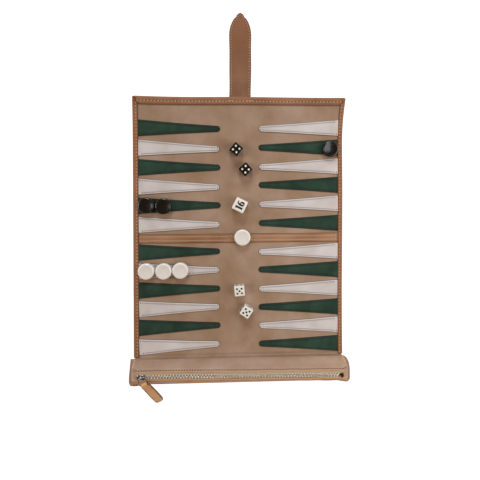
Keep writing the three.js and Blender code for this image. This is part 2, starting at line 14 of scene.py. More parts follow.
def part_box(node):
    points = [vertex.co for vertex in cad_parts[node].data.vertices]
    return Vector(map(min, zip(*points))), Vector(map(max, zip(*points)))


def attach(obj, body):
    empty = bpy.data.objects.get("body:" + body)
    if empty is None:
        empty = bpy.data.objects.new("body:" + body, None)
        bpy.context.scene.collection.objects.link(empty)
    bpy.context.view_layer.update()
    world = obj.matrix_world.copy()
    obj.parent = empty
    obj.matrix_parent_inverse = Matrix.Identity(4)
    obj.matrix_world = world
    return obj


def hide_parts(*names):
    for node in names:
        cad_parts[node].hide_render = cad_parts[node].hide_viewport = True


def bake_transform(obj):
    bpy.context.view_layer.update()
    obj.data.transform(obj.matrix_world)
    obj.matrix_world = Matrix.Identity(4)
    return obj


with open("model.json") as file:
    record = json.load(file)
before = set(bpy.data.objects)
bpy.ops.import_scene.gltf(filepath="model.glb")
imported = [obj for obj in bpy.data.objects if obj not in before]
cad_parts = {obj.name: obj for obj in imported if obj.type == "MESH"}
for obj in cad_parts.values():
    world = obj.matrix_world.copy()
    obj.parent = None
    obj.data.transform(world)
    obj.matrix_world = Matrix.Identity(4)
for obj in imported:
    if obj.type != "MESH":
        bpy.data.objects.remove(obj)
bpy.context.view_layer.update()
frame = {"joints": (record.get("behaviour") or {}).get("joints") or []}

MM = 0.001
UP = np.array([0.0, 0.0, 1.0])


def span(*nodes):
    """Lowest and highest corner of some CAD nodes together, in millimetres."""
    corners = np.array([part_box(n) for n in nodes]) / MM
    return corners[:, 0].min(axis=0), corners[:, 1].max(axis=0)


def joint(name):
    return next(j for j in frame["joints"] if j["name"] == name)


def pivot(name):
    """A joint's place, in millimetres."""
    return np.array(joint(name)["pos_m"]) / MM


def direction(name):
    """A joint's axis as a unit vector."""
    axis = np.array(joint(name)["axis"], float)
    return axis / np.linalg.norm(axis)


# ------------------------------------------------------------------ sizes read from the frame
back_low, back_high = span("back_panel")
mat_half = back_high[0]
mat_top = back_high[1]
mat_end = back_low[1]
suede_top = span("suede_upper")[1][2]
trim_low, trim_top = span("top_border")[0][2], span("top_border")[1][2]
field_left = span("left_border")[1][0]
field_right = span("right_border")[0][0]
border_foot = span("top_border")[0][1]


# ------------------------------------------------------------------ mesh helpers
def in_scene(name, data):
    made = bpy.data.objects.new(name, data)
    bpy.context.scene.collection.objects.link(made)
    return made


def make_object(name, verts, faces, materials, smooth=True, slots=None, wear_and_light=None, shade=None):
    """A mesh object from millimetre points. slots gives each face's material, the wear values how far each
    point takes its material's edge colour, for wear and for painted light, and shade how much painted
    shade it takes."""
    mesh = bpy.data.meshes.new(name)
    mesh.from_pydata((np.asarray(verts, float) * MM).tolist(), [], [list(map(int, f)) for f in faces])
    for material in materials:
        mesh.materials.append(material)
    if slots is not None:
        mesh.polygons.foreach_set("material_index", np.asarray(slots, np.int32))
    for label, values in (("wear_and_light", wear_and_light), ("shade", shade)):
        if values is not None:
            attribute = mesh.attributes.new(label, "FLOAT", "POINT")
            attribute.data.foreach_set("value", np.asarray(values, np.float32))
    mesh.polygons.foreach_set("use_smooth", np.full(len(mesh.polygons), smooth))
    mesh.validate()
    mesh.update()
    return in_scene(name, mesh)


def face_outwards(made):
    """Turns every face of a closed mesh to point outwards."""
    mesh = bmesh.new()
    mesh.from_mesh(made.data)
    bmesh.ops.recalc_face_normals(mesh, faces=mesh.faces[:])
    mesh.to_mesh(made.data)
    mesh.free()


def stand_in(piece, body, node):
    """The piece moves with a body and is shown in place of a CAD node."""
    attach(piece, body)
    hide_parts(node)


def joined(parts):
    """Several (points, faces) or (points, faces, slots) joined into one with slots."""
    verts, faces, slots, start = [], [], [], 0
    for points, part_faces, *part_slots in parts:
        verts.append(np.asarray(points, float))
        faces += [[i + start for i in f] for f in part_faces]
        slots += part_slots[0] if part_slots else [0] * len(part_faces)
        start += len(points)
    return np.concatenate(verts), faces, slots


def line(start, end, steps):
    """Equal steps between two numbers or two points."""
    return np.linspace(start, end, steps + 1)


def at_height(flat, z):
    """Plane points set at one height."""
    return np.column_stack([flat, np.full(len(flat), z)])


def full_turn(count, start=0.0):
    """Equal steps round a full turn, in radians."""
    return 2 * math.pi * (np.arange(count) + start) / count


def ease(t):
    """0 to 1 with a soft start and end."""
    return t * t * (3 - 2 * t)


def turn(degrees, axis="Z"):
    return np.array(Matrix.Rotation(math.radians(degrees), 3, axis))


def ring_faces(rings, count, cap=False, closed=False):
    """Quads between successive rings of count points, with flat caps or back to the first ring if
    asked."""
    faces = []
    for r in range(rings if closed else rings - 1):
        here, after = r * count, (r + 1) % rings * count
        for i in range(count):
            j = (i + 1) % count
            faces.append([here + i, here + j, after + j, after + i])
    if cap:
        faces.append(list(range(count))[::-1])
        faces.append([(rings - 1) * count + i for i in range(count)])
    return faces


def grid_faces(rows, columns):
    """Quads over a grid of points kept row by row."""
    return [[a, a + 1, a + columns + 1, a + columns]
            for r in range(rows - 1) for a in range(r * columns, (r + 1) * columns - 1)]


def grid_border(rows, columns):
    """The loop of points round such a grid."""
    end = rows * columns
    return [*range(columns), *range(2 * columns - 1, end, columns), *range(end - 2, end - columns - 1, -1),
            *range(end - 2 * columns, 0, -columns)]


def grid_slab(rows, columns):
    """Faces of a slab whose two sides are such grids, one after the other."""
    count = rows * columns
    side, loop = grid_faces(rows, columns), grid_border(rows, columns)
    walls = [[a, b, count + b, count + a] for a, b in zip(loop, loop[1:] + loop[:1])]
    return [f[::-1] for f in side] + [[count + i for i in f] for f in side] + walls


def inset_loop(loop, distance):
    """A counter-clockwise plane loop moved inwards by a distance, with mitred corners."""
    normals = []
    for step in (loop - np.roll(loop, 1, axis=0), np.roll(loop, -1, axis=0) - loop):
        step /= np.maximum(np.linalg.norm(step, axis=1, keepdims=True), 1e-9)
        normals.append(np.stack([-step[:, 1], step[:, 0]], 1))
    mitre = normals[0] + normals[1]
    mitre /= np.maximum((mitre * normals[0]).sum(axis=1, keepdims=True), 0.35)
    return loop + distance * mitre


def lathe(profile, segments):
    """Points and faces of a turned solid, from a profile of (radius, height) that ends on the axis."""
    turns = full_turn(segments)
    circle = np.column_stack([np.cos(turns), np.sin(turns)])
    rings = [at_height(r * circle, z) for r, z in profile[1:-1]]
    verts = np.vstack([[[0, 0, profile[0][1]]], *rings, [[0, 0, profile[-1][1]]]])
    faces = [[i + 1 for i in f] for f in ring_faces(len(rings), segments)]
    last = len(verts) - 1
    for i in range(segments):
        j = (i + 1) % segments
        faces.append([0, 1 + j, 1 + i])
        faces.append([last - segments + i, last - segments + j, last])
    return verts, faces


CORNER_REACH = 62.0  # how far down from the top edge the mat's corners are off their places
CORNER_SPREAD = 4.6
CORNER_LIFT = 3.0


def settle(points):
    """How the mat lies: its top right corner spreads and lifts, its top left one does so a little,
    and its edges and its surface wander."""
    p = np.array(points, float)
    x, y = p[:, 0], p[:, 1]
    near_top = np.clip((y - (mat_top - CORNER_REACH)) / CORNER_REACH, 0, 1) ** 2
    left = np.clip(-x / mat_half, 0, 1)
    right = np.clip(x / mat_half, 0, 1)
    p[:, 0] += CORNER_SPREAD * near_top * right ** 2 - 0.5 * near_top * left ** 2
    p[:, 0] += 0.5 * np.sin(y / 45 + 0.55) * right ** 3 + (0.15 + 0.004 * y) * left ** 3
    p[:, 1] += near_top * (0.9 * left ** 3 - 0.45 * np.sin(math.pi * left) - 1.3 * right)
    p[:, 2] += near_top * (CORNER_LIFT * right ** 5 + 0.9 * left ** 5)
    p[:, 2] += 0.1 * np.sin(x / 37 + 0.5) * np.sin(y / 49) * np.clip(p[:, 2] / trim_top, 0, 1)
    return p


def turned_edge(points):
    """The borders' leather rolls down over the mat's edge before the mat settles."""
    p = np.array(points, float)
    from_edge = np.minimum(mat_half - np.abs(p[:, 0]), mat_top - p[:, 1])
    roll = np.clip(1 - from_edge / 3.0, 0, 1) ** 2
    p[:, 2] -= 0.95 * roll * np.clip((p[:, 2] - trim_low) / (trim_top - trim_low), 0, 1)
    return settle(p)


# ------------------------------------------------------------------ material helpers
def screen_colour(r, g, b):
    """The linear values that shaders take for a colour in 0-255 screen values."""
    def linear(c):
        c /= 255
        return c / 12.92 if c <= 0.04045 else ((c + 0.055) / 1.055) ** 2.4
    return (linear(r), linear(g), linear(b), 1.0)


class Shader:
    """A material with one Principled shader and short ways to add and join its nodes."""

    def __init__(self, name, roughness=0.5, metallic=0.0):
        self.material = bpy.data.materials.new(name)
        self.material.use_nodes = True
        self.tree = self.material.node_tree
        self.tree.nodes.clear()
        output = self.tree.nodes.new("ShaderNodeOutputMaterial")
        self.shader = self.tree.nodes.new("ShaderNodeBsdfPrincipled")
        self.set(Roughness=roughness, Metallic=metallic)
        self.join(self.shader.outputs[0], output.inputs[0])
        coordinates = self.tree.nodes.new("ShaderNodeTexCoord")
        self.place = coordinates.outputs["Object"]

    def set(self, **levels):
        """Sets inputs of the Principled shader, with _ for the spaces in their names."""
        for name, level in levels.items():
            self.shader.inputs[name.replace("_", " ")].default_value = level

    def join(self, source, target):
        self.tree.links.new(source, target)

    def node(self, kind, inputs=(), **settings):
        made = self.tree.nodes.new(kind)
        for key, value in settings.items():
            setattr(made, key, value)
        for key, value in dict(inputs).items():
            if isinstance(value, bpy.types.NodeSocket):
                self.join(value, made.inputs[key])
            else:
                made.inputs[key].default_value = value
        return made

    def noise(self, scale, detail=3.0, roughness=0.55, place=None):
        inputs = {"Vector": place or self.place, "Scale": scale, "Detail": detail, "Roughness": roughness}
        return self.node("ShaderNodeTexNoise", inputs).outputs["Fac"]

    def cells(self, scale):
        """How far each place is from the nearest edge between irregular cells."""
        inputs = {"Vector": self.place, "Scale": scale}
        return self.node("ShaderNodeTexVoronoi", inputs, feature="DISTANCE_TO_EDGE").outputs["Distance"]

    def stretched(self, x, y, z):
        return self.node("ShaderNodeMapping", {"Vector": self.place, "Scale": (x, y, z)}).outputs[0]

    def ramp(self, value, low, high, start=0.0, end=1.0):
        """value from start..end mapped to low..high, clamped."""
        inputs = {"Value": value, "From Min": start, "From Max": end, "To Min": low, "To Max": high}
        return self.node("ShaderNodeMapRange", inputs).outputs[0]

    def wave(self, scale, distortion, direction):
        inputs = {"Vector": self.place, "Scale": scale, "Distortion": distortion}
        return self.node("ShaderNodeTexWave", inputs, wave_type="BANDS",
                         bands_direction=direction).outputs["Fac"]

    def mix(self, factor, first, second, blend="MIX"):
        """first and second are sockets, or colours in screen values."""
        inputs = {0: factor}
        for index, value in ((6, first), (7, second)):
            inputs[index] = screen_colour(*value) if isinstance(value, tuple) else value
        return self.node("ShaderNodeMix", inputs, data_type="RGBA", blend_type=blend).outputs[2]

    def math(self, operation, a, b):
        return self.node("ShaderNodeMath", {0: a, 1: b}, operation=operation).outputs[0]

    def bumps(self, *layers):
        """Each layer is (height socket, depth in millimetres)."""
        normal = None
        for height, depth in layers:
            inputs = {"Height": height, "Distance": depth * MM, "Strength": 1.0}
            if normal:
                inputs["Normal"] = normal
            normal = self.node("ShaderNodeBump", inputs).outputs[0]
        self.join(normal, self.shader.inputs["Normal"])

    def colour(self, socket):
        self.join(socket, self.shader.inputs["Base Color"])

    def rough(self, socket):
        self.join(socket, self.shader.inputs["Roughness"])

    def attribute(self, label):
        return self.node("ShaderNodeAttribute", attribute_name=label).outputs["Fac"]


PAINTED_SHADE_BROWN = (84, 50, 40)  # painted shade: at pieces' feet, along the borders' inner edges and in the pouch's front groove


def leather(name, body, dark, light, edge, grain=0.9, roughness=0.55, depth=0.06):
    """Grained leather: pebbles about grain millimetres across, cloudy dyed colour and a bare or waxed edge.
    """
    s = Shader(name)
    s.set(Specular_IOR_Level=0.3)
    clouds = s.ramp(s.noise(26, 4), 0.0, 1.0, 0.35, 0.68)
    tone = s.mix(clouds, dark, light)
    tone = s.mix(s.ramp(s.noise(160, 3), 0.0, 0.55, 0.4, 0.75), tone, body)
    pebble = s.cells(1000 / grain)  # cells to a metre
    crease = s.ramp(pebble, 0.82, 1.0, 0.0, 0.16)
    tone = s.mix(1.0, tone, crease, "MULTIPLY")
    # The edge colour goes on worn and cut edges. It is also painted shade at the borders' inner edges and a
    # painted lack of sheen on the strap's tip. The shade attribute adds painted shade.
    edge_fleck = s.math("MULTIPLY", s.attribute("wear_and_light"), s.ramp(s.noise(420, 2), 0.75, 1.0, 0.3, 0.7))
    s.colour(s.mix(s.attribute("shade"), s.mix(edge_fleck, tone, edge), PAINTED_SHADE_BROWN))
    s.rough(s.ramp(s.noise(90, 3), roughness - 0.07, roughness + 0.1, 0.3, 0.7))
    s.bumps((s.ramp(pebble, 0.0, 1.0, 0.0, 0.3), depth), (s.noise(2600, 2), 0.03), (s.noise(45, 2), 0.25))
    return s.material


def suede(name, body, dark, light, edge, nap=0.5, clouds_scale=22.0):
    """Brushed nap: short fibres that lie different ways in soft clouds, with next to no shine."""
    s = Shader(name, roughness=0.8)
    s.set(Specular_IOR_Level=0.15, Sheen_Weight=0.12, Sheen_Roughness=0.5)
    clouds = s.ramp(s.noise(clouds_scale, 5, 0.6), 0.0, 1.0, 0.36, 0.66)
    tone = s.mix(clouds, dark, light)
    fibres = s.noise(1000 / nap, 3, 0.7)
    brushed = s.noise(1.0, 4, 0.65, s.stretched(420, 1500, 900))
    tone = s.mix(s.ramp(fibres, 0.0, 0.6, 0.35, 0.72), tone, body)
    tone = s.mix(s.ramp(brushed, 0.0, 0.4, 0.52, 0.75), tone, dark)
    # The edge colour goes on cut edges; the shade attribute adds painted shade.
    s.colour(s.mix(s.attribute("shade"), s.mix(s.attribute("wear_and_light"), tone, edge), PAINTED_SHADE_BROWN))
    s.bumps((fibres, 0.12), (brushed, 0.08))
    return s.material


def woven(name, body, dark, rib):
    """Zip tape: ribs across its width and a finer weave along it."""
    s = Shader(name, roughness=0.9)
    s.set(Sheen_Weight=0.1)
    ribs_per_metre = 1000 / rib / 6.28
    weave = s.math("MULTIPLY", s.wave(ribs_per_metre, 0.6, "X"), s.wave(1.6 * ribs_per_metre, 0.8, "Y"))
    tone = s.mix(s.ramp(weave, 0.0, 1.0, 0.0, 0.7), dark, body)
    s.colour(s.mix(s.ramp(s.noise(120, 3), 0.0, 0.5, 0.4, 0.7), tone, dark))
    s.bumps((weave, 0.12), (s.noise(3000, 2), 0.04))
    return s.material


def thread(name, body, dark):
    """Waxed thread with its twist."""
    s = Shader(name, roughness=0.6)
    twist = s.wave(900.0, 1.0, "DIAGONAL")
    s.colour(s.mix(s.ramp(s.math("ADD", twist, s.noise(200, 2)), 0.0, 1.0, 0.4, 1.5), dark, body))
    s.bumps((twist, 0.05))
    return s.material


def metal(name, body, dark, roughness=0.22, metallic=1.0):
    """Plated metal with fine scratches and duller patches."""
    s = Shader(name, metallic=metallic)
    scratches = s.noise(1.0, 3, 0.6, s.stretched(300, 4200, 1500))
    patches = s.noise(300, 3)
    s.colour(s.mix(s.ramp(patches, 0.0, 0.5, 0.4, 0.75), body, dark))
    s.rough(s.ramp(s.math("ADD", scratches, patches), roughness - 0.06, roughness + 0.14, 0.8, 1.25))
    s.bumps((scratches, 0.01))
    return s.material


def resin(name, body, dark, light, rim_highlight, roughness=0.2):
    """Cast resin: faint swirls under a polish with the odd hairline scuff."""
    s = Shader(name)
    s.set(Coat_Weight=0.25, Coat_Roughness=0.12)
    inputs = {"Vector": s.place, "Scale": 70.0, "Detail": 3.0, "Distortion": 1.6}
    bent = s.node("ShaderNodeTexNoise", inputs)
    tone = s.mix(s.ramp(bent.outputs["Fac"], 0.0, 1.0, 0.35, 0.7), dark, light)
    # The rim colour is a painted highlight round a checker's top rim.
    s.colour(s.mix(s.attribute("wear_and_light"), s.mix(0.6, tone, body), rim_highlight))
    s.rough(s.ramp(s.noise(400, 3), roughness - 0.04, roughness + 0.1, 0.35, 0.75))
    s.bumps((s.noise(700, 2), 0.006))
    return s.material


# Painted shade: a dark disc stands in for the shade inside each needle hole.
def painted_hole_shade(name, dark, light):
    s = Shader(name, roughness=1.0)
    s.colour(s.mix(s.ramp(s.noise(900, 2), 0.0, 1.0), dark, light))
    return s.material


# ------------------------------------------------------------------ materials
SUEDE = suede("suede", (166, 134, 108), (150, 117, 89), (178, 149, 127), (152, 120, 94))
BORDER = leather("border_leather", (160, 110, 75), (140, 91, 56), (172, 123, 87), (160, 100, 58))
BAR = leather("bar_leather", (167, 120, 84), (148, 100, 66), (180, 134, 98), (140, 88, 52))
BROWN = leather("brown_leather", (150, 104, 74), (126, 84, 57), (166, 120, 88), (104, 62, 36))
STRAP = leather("strap_leather", (146, 101, 71), (128, 86, 56), (158, 112, 82), (142, 88, 48))
BACK = leather("back_leather", (128, 88, 62), (106, 70, 48), (146, 102, 72), (96, 58, 34), grain=1.3)
TAN = leather("pouch_leather", (184, 150, 124), (170, 134, 106), (194, 161, 138), (226, 164, 108),
              grain=1.0, roughness=0.5, depth=0.08)
EDGE = leather("raw_edge_leather", (198, 138, 86), (172, 112, 66), (214, 156, 104), (188, 124, 72),
               grain=0.7, roughness=0.62)
TAB = leather("tab_leather", (240, 180, 122), (224, 160, 102), (246, 194, 142), (84, 48, 30),
              grain=0.8, roughness=0.45)
GREEN = suede("green_leather", (43, 64, 49), (32, 51, 38), (53, 76, 60), (26, 38, 30), nap=0.4,
              clouds_scale=40.0)
WHITE = suede("white_leather", (212, 200, 192), (200, 186, 177), (222, 212, 206), (224, 216, 210),
              nap=0.4, clouds_scale=40.0)
TAPE = woven("zip_tape", (208, 184, 154), (170, 146, 116), 0.8)
NICKEL = metal("zip_metal", (176, 173, 168), (96, 88, 80), 0.18)
TOOTH = metal("zip_teeth_metal", (250, 242, 228), (226, 210, 186), 0.3, 0.7)
DARK_METAL = metal("dark_metal", (86, 66, 48), (44, 32, 24), 0.4)
BLACK = resin("black_resin", (8, 6, 5), (5, 4, 3), (12, 10, 8), (20, 17, 15))
IVORY = resin("ivory_resin", (237, 227, 215), (227, 215, 200), (243, 235, 224), (246, 238, 228))
IVORY_DIE = resin("ivory_dice", (242, 234, 219), (232, 221, 203), (248, 243, 232), (252, 248, 240))
CUBE = resin("cube_resin", (250, 240, 224), (243, 230, 211), (253, 246, 234), (252, 248, 240), 0.3)
INK = resin("printed_black", (20, 17, 15), (12, 10, 9), (28, 25, 23), (28, 25, 23), 0.45)
THREAD_TAN = thread("tan_thread", (240, 212, 180), (212, 176, 140))
THREAD_BROWN = thread("brown_thread", (188, 152, 124), (168, 132, 104))
THREAD_GREEN = thread("green_thread", (50, 80, 70), (26, 42, 36))
THREAD_WHITE = thread("white_thread", (224, 214, 207), (206, 195, 187))
HOLE_SHADE = painted_hole_shade("painted_hole_shade", (52, 32, 22), (74, 48, 34))
PALE_HOLE_SHADE = painted_hole_shade("pale_painted_hole_shade", (84, 68, 60), (108, 92, 84))
GREEN_HOLE_SHADE = painted_hole_shade("green_painted_hole_shade", (5, 9, 7), (9, 15, 12))


# ------------------------------------------------------------------ stitches
# Along a stitch, in its lengths, how thick it is there and how high it stands.
STITCH_SHAPE = ((-0.5, 0.25, -0.35), (-0.36, 0.85, 0.45), (0.0, 1.0, 1.0), (0.36, 0.85, 0.45),
                (0.5, 0.25, -0.35))


def stitches(path, pitch, length=None, width=0.95, slant=7.0, normal=UP, rise=0.5, hole=0.5):
    """A row of stitches along a path on a surface: (points, faces, slots) with the thread in slot 0
    and a disc of painted shade for the needle hole after each stitch in slot 1. normal is one
    vector, or one per point."""
    path = np.asarray(path, float)
    along = np.concatenate([[0], np.cumsum(np.linalg.norm(np.diff(path, axis=0), axis=1))])
    count = max(1, round(along[-1] / pitch))
    pitch = along[-1] / count
    length = length or 0.62 * pitch
    normals = np.broadcast_to(np.asarray(normal, float), path.shape)
    angle = math.radians(slant)

    def at(distance, values):
        return np.array([np.interp(distance, along, values[:, k]) for k in range(3)])

    parts = []
    for centre in (np.arange(count) + 0.5) * pitch:
        here, up = at(centre, path), at(centre, normals)
        up /= np.linalg.norm(up)
        forward = at(centre + 0.3, path) - at(centre - 0.3, path)
        forward -= up * forward.dot(up)
        forward /= max(np.linalg.norm(forward), 1e-9)
        forward = forward * math.cos(angle) + np.cross(up, forward) * math.sin(angle)
        side = np.cross(up, forward)
        verts = [here + forward * station * length + side * math.cos(t) * thick * width / 2
                 + up * (math.sin(t) * thick * width * 0.4 + high * rise * 0.5)
                 for station, thick, high in STITCH_SHAPE for t in full_turn(5)]
        parts.append((verts, ring_faces(len(STITCH_SHAPE), 5, cap=True)))
        # A disc of painted shade for the needle hole, just above the leather.
        middle = here + forward * pitch / 2 + up * 0.08
        disc = [middle + hole * (forward * math.cos(t) + side * math.sin(t)) for t in full_turn(7)]
        parts.append((disc, [list(range(len(disc)))], [1]))
    return joined(parts)


def sew(name, rows, materials, body=None):
    """One object for rows of stitches. It rides on body if one is named."""
    verts, faces, slots = joined(rows)
    made = make_object(name, verts, faces, materials, slots=slots)
    if body:
        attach(made, body)
    return made


# ------------------------------------------------------------------ plates of leather
GROOVE = 0.18  # how far stitching pulls the leather down
POINT_GROOVE = 0.06  # and how far in the thin points


def plate(name, rail_a, rail_b, bottom, top, material, soft=0.4, sewn=None, lay=settle, band=None,
          painted_shade=None, foot=0.0, groove=GROOVE):
    """A piece of leather between two rails of plane points, rail_a on the right hand side going
    forward. Its edges are rounded by soft. Stitching pulls it down by groove, sewn inside its edge.
    band says how far each plane point takes the edge colour, for wear and for painted light, and the
    shade function how much painted shade it takes; foot is how far a dark skirt of painted shade spreads
    round its foot, and lay moves its points to where they lie on the object."""
    loop = np.vstack([rail_a, rail_b[::-1]])
    thick = top - bottom
    # Each ring's inset, height and wear.
    rings = [(-foot, bottom + 0.16, 1.0) if foot else (0.3, bottom, 1.0), (0.0, bottom + 0.3 * thick, 1.0),
             (0.0, top - 0.7 * soft, 1.0), (0.35 * soft, top - 0.25 * soft, 0.7), (soft, top, 0.25)]
    if sewn:
        rings += [(sewn + aside, top - down, 0.0)
                  for aside, down in ((-0.9, 0), (-0.35, groove), (0.35, groove), (0.9, 0))]
    else:
        rings.append((soft + 0.8, top, 0.0))
    count = len(loop)
    verts, wear_and_light, shade = [], [], []
    for inset, z, wear in rings:
        flat = inset_loop(loop, inset)
        verts.append(at_height(flat, z))
        wear_and_light += list(np.maximum(wear, band(flat))) if band else [wear] * count
        # Painted shade: with a foot, the skirt and the lower side wall take the dark shade colour for the
        # contact shadow round the piece.
        foot_shade = 1.0 if foot and inset <= 0 and z < top - soft else 0.0
        shade += list(np.maximum(foot_shade, painted_shade(flat))) if painted_shade else [foot_shade] * count
    verts = np.vstack(verts)
    faces = ring_faces(len(rings), count)
    last = (len(rings) - 1) * count
    for i in range(len(rail_a) - 1):
        j = count - 1 - i
        faces.append([i, j, j - 1, i + 1])
        faces.append([last + i, last + i + 1, last + j - 1, last + j])
    return make_object(name, lay(verts), faces, [material], wear_and_light=wear_and_light, shade=shade)


def slab(name, low, high, material, step):
    """A large flat panel between two corners with a grid of points, so that it can lie unevenly."""
    soft = 0.4
    axes = []
    for k in (0, 1):
        steps = max(2, round((high[k] - low[k]) / step))
        axes.append([low[k], low[k] + soft, *line(low[k], high[k], steps)[1:-1], high[k] - soft, high[k]])
    verts, wear_and_light = [], []
    for z in (low[2], high[2]):
        for y in axes[1]:
            for x in axes[0]:
                edge = x in (low[0], high[0]) or y in (low[1], high[1])
                verts.append([x, y, z - (soft if edge and z == high[2] else 0)])
                wear_and_light.append(1.0 if edge else 0.0)
    return make_object(name, settle(verts), grid_slab(len(axes[1]), len(axes[0])), [material], wear_and_light=wear_and_light)


# ------------------------------------------------------------------ the mat
def upside_down(points):
    """The keeper's good side faces the table."""
    low, high = span("strap_keeper")
    p = np.array(points, float)
    p[:, 2] = low[2] + high[2] - p[:, 2]
    p[:, 0] = low[0] + high[0] - p[:, 0]
    return p


def build_back():
    low, high = span("back_panel")
    keeper_low, keeper_high = span("strap_keeper")
    keeper_shows = 0.4  # how far it stands out below the panel
    panel = slab("back_leather_panel", low + UP * keeper_shows, high, BACK, 9.0)
    stand_in(panel, "mat", "back_panel")
    rails = [line((keeper_low[0], y), (keeper_high[0], y), 12) for y in (keeper_low[1], keeper_high[1])]
    keeper = plate("strap_keeper_loop", *rails, 0.0, keeper_high[2], BROWN, sewn=1.6, lay=upside_down)
    stand_in(keeper, "mat", "strap_keeper")


def build_suede():
    for node in ("suede_upper", "suede_lower"):
        low, high = span(node)
        panel = slab(node + "_panel", low - UP * 0.15, high, SUEDE, 4.0)
        stand_in(panel, "mat", node)


def side_rails(side):
    """The two long edges of a side border, from its foot to the mitre at the top."""
    low, high = span("left_border" if side < 0 else "right_border")
    inner, outer = (high[0], low[0]) if side < 0 else (low[0], high[0])
    inner_rail = line((inner, low[1]), (inner, border_foot - 0.1), 90)
    outer_rail = line((outer, low[1]), (outer, mat_top - 1.6), 90)
    return (inner_rail, outer_rail) if side < 0 else (outer_rail, inner_rail)


SIDE_SEWN = 2.2  # stitch line from a side border's inner edge
TOP_SEWN = 4.3  # stitch line from the top border's inner edge
EDGE_BAND = 2.8  # the darker turned band at the mat's edge


def border_edge_and_shade(flat):
    """The turned outer edge is darker, and painted shade darkens the borders along the top of the suede,
    where they step down to it.
    """
    from_edge = np.minimum(mat_half - np.abs(flat[:, 0]), mat_top - flat[:, 1])
    top_inner_shade = np.clip(1 - np.abs(flat[:, 1] - border_foot) / 2.4, 0, 1) * 0.8
    return np.maximum(np.where(from_edge < EDGE_BAND, 0.8, 0.0), top_inner_shade)


def row_on_mat(start, end, pitch, steps=140, **more):
    """A straight row of stitches in the groove of a border."""
    path = at_height(np.linspace(start, end, steps), trim_top - GROOVE)
    return stitches(turned_edge(path), pitch, **more)


def border_inner_shade(flat):
    """Painted shade: a dark line where the borders' inner edge steps down to the suede."""
    from_field = np.minimum(np.abs(flat[:, 0] - field_left), np.abs(flat[:, 0] - field_right))
    from_field = np.minimum(from_field, np.abs(flat[:, 1] - border_foot))
    return np.clip(1.1 - from_field / 0.6, 0, 1)


def build_borders():
    rows = []
    looks = {"lay": turned_edge, "band": border_edge_and_shade, "painted_shade": border_inner_shade}
    for side, node in ((-1, "left_border"), (1, "right_border")):
        strip = plate(node + "_strip", *side_rails(side), trim_low - 0.1, trim_top, BORDER,
                      sewn=SIDE_SEWN, **looks)
        stand_in(strip, "mat", node)
        x = (field_left if side < 0 else field_right) + side * SIDE_SEWN
        rows.append(row_on_mat((x, mat_end + 1), (x, border_foot + TOP_SEWN - 1), pitch=3.95,
                               length=1.7, width=0.85, hole=0.32))
    lower = line((field_left, border_foot), (field_right, border_foot), 100)
    upper = line((-mat_half, mat_top), (mat_half, mat_top), 100)
    upper[[0, -1], 1] -= 1.2
    strip = plate("top_border_strip", lower, upper, trim_low - 0.1, trim_top, BORDER, sewn=TOP_SEWN,
                  **looks)
    stand_in(strip, "mat", "top_border")
    y = border_foot + TOP_SEWN
    rows.append(row_on_mat((field_left - SIDE_SEWN, y), (field_right + SIDE_SEWN, y), pitch=4.1,
                           length=2.0, width=1.05, hole=0.45))
    strap_low, strap_high = span("strap_front")
    for x in (strap_low[0] + 1.2, strap_high[0] - 2.6):
        rows.append(row_on_mat((x - 3.5, y + 0.5), (x + 3.5, y + 0.5), pitch=2.4, steps=12, width=1.1))
    sew("border_stitches", rows, [THREAD_TAN, HOLE_SHADE], "mat")


BAR_SEWN = 2.7


def build_bar():
    low, high = span("bar_strip")
    rails = [line((low[0], y), (high[0], y), 56) for y in (low[1], high[1])]
    strip = plate("bar_leather_strip", *rails, trim_low - 0.1, trim_top, BAR, sewn=BAR_SEWN, foot=0.35)
    stand_in(strip, "mat", "bar_strip")
    rows = [row_on_mat((low[0] + 1, y), (high[0] - 1, y), pitch=3.1, length=1.4, width=1.1, hole=0.35)
            for y in (low[1] + BAR_SEWN, high[1] - BAR_SEWN)]
    sew("bar_stitches", rows, [THREAD_TAN, HOLE_SHADE], "mat")


POINT_BASE_HALF = 9.6
POINT_TIP_RADIUS = 3.3
POINT_HOLLOW = 0.25  # how far its sides bow inwards


def point_rails(length, inset=0.0):
    """Both sides of a point laid along +X, from its base to the middle of its round tip, or of the
    line that lies inset inside it."""
    centre = length - POINT_TIP_RADIUS
    slope = math.asin((POINT_BASE_HALF - POINT_TIP_RADIUS) / centre)
    radius = POINT_TIP_RADIUS - inset
    straight_x = np.linspace(inset, centre + POINT_TIP_RADIUS * math.sin(slope), 34)
    narrows = POINT_BASE_HALF - POINT_TIP_RADIUS * math.cos(slope)
    half = (POINT_BASE_HALF - narrows * straight_x / straight_x[-1] - inset / math.cos(slope)
            - POINT_HOLLOW * np.sin(math.pi * straight_x / centre))
    tip = np.linspace(math.pi / 2 - slope, 0.0, 9)[1:-1]
    xs = np.concatenate([straight_x, centre + radius * np.cos(tip), [centre + radius]])
    ys = np.concatenate([half, radius * np.sin(tip), [0.06]])
    return np.column_stack([xs, -ys]), np.column_stack([xs, ys])


POINT_SEWN = 1.7
POINT_LEAN = {"left": -1.3, "right": 0.5}  # degrees at the board's ends; every tip leans to the middle
WHITE_SHORTER = {"left": 1.0, "right": 0.3}  # how much less of a white point's tip shows
POINT_ROWS = 6
# How far each point was sewn above its row, from row 1 down.
OFF_ROW = {"upper left": (0.8, 0, -0.4, -0.6, -0.6, -0.5), "lower left": (0.5, 0.3, 0, 0, 0, -0.8),
           "upper right": (0.9, 0, 0.4, 0.5, 0.9, 0), "lower right": (0, 0, 0, -0.6, 0, -0.6)}


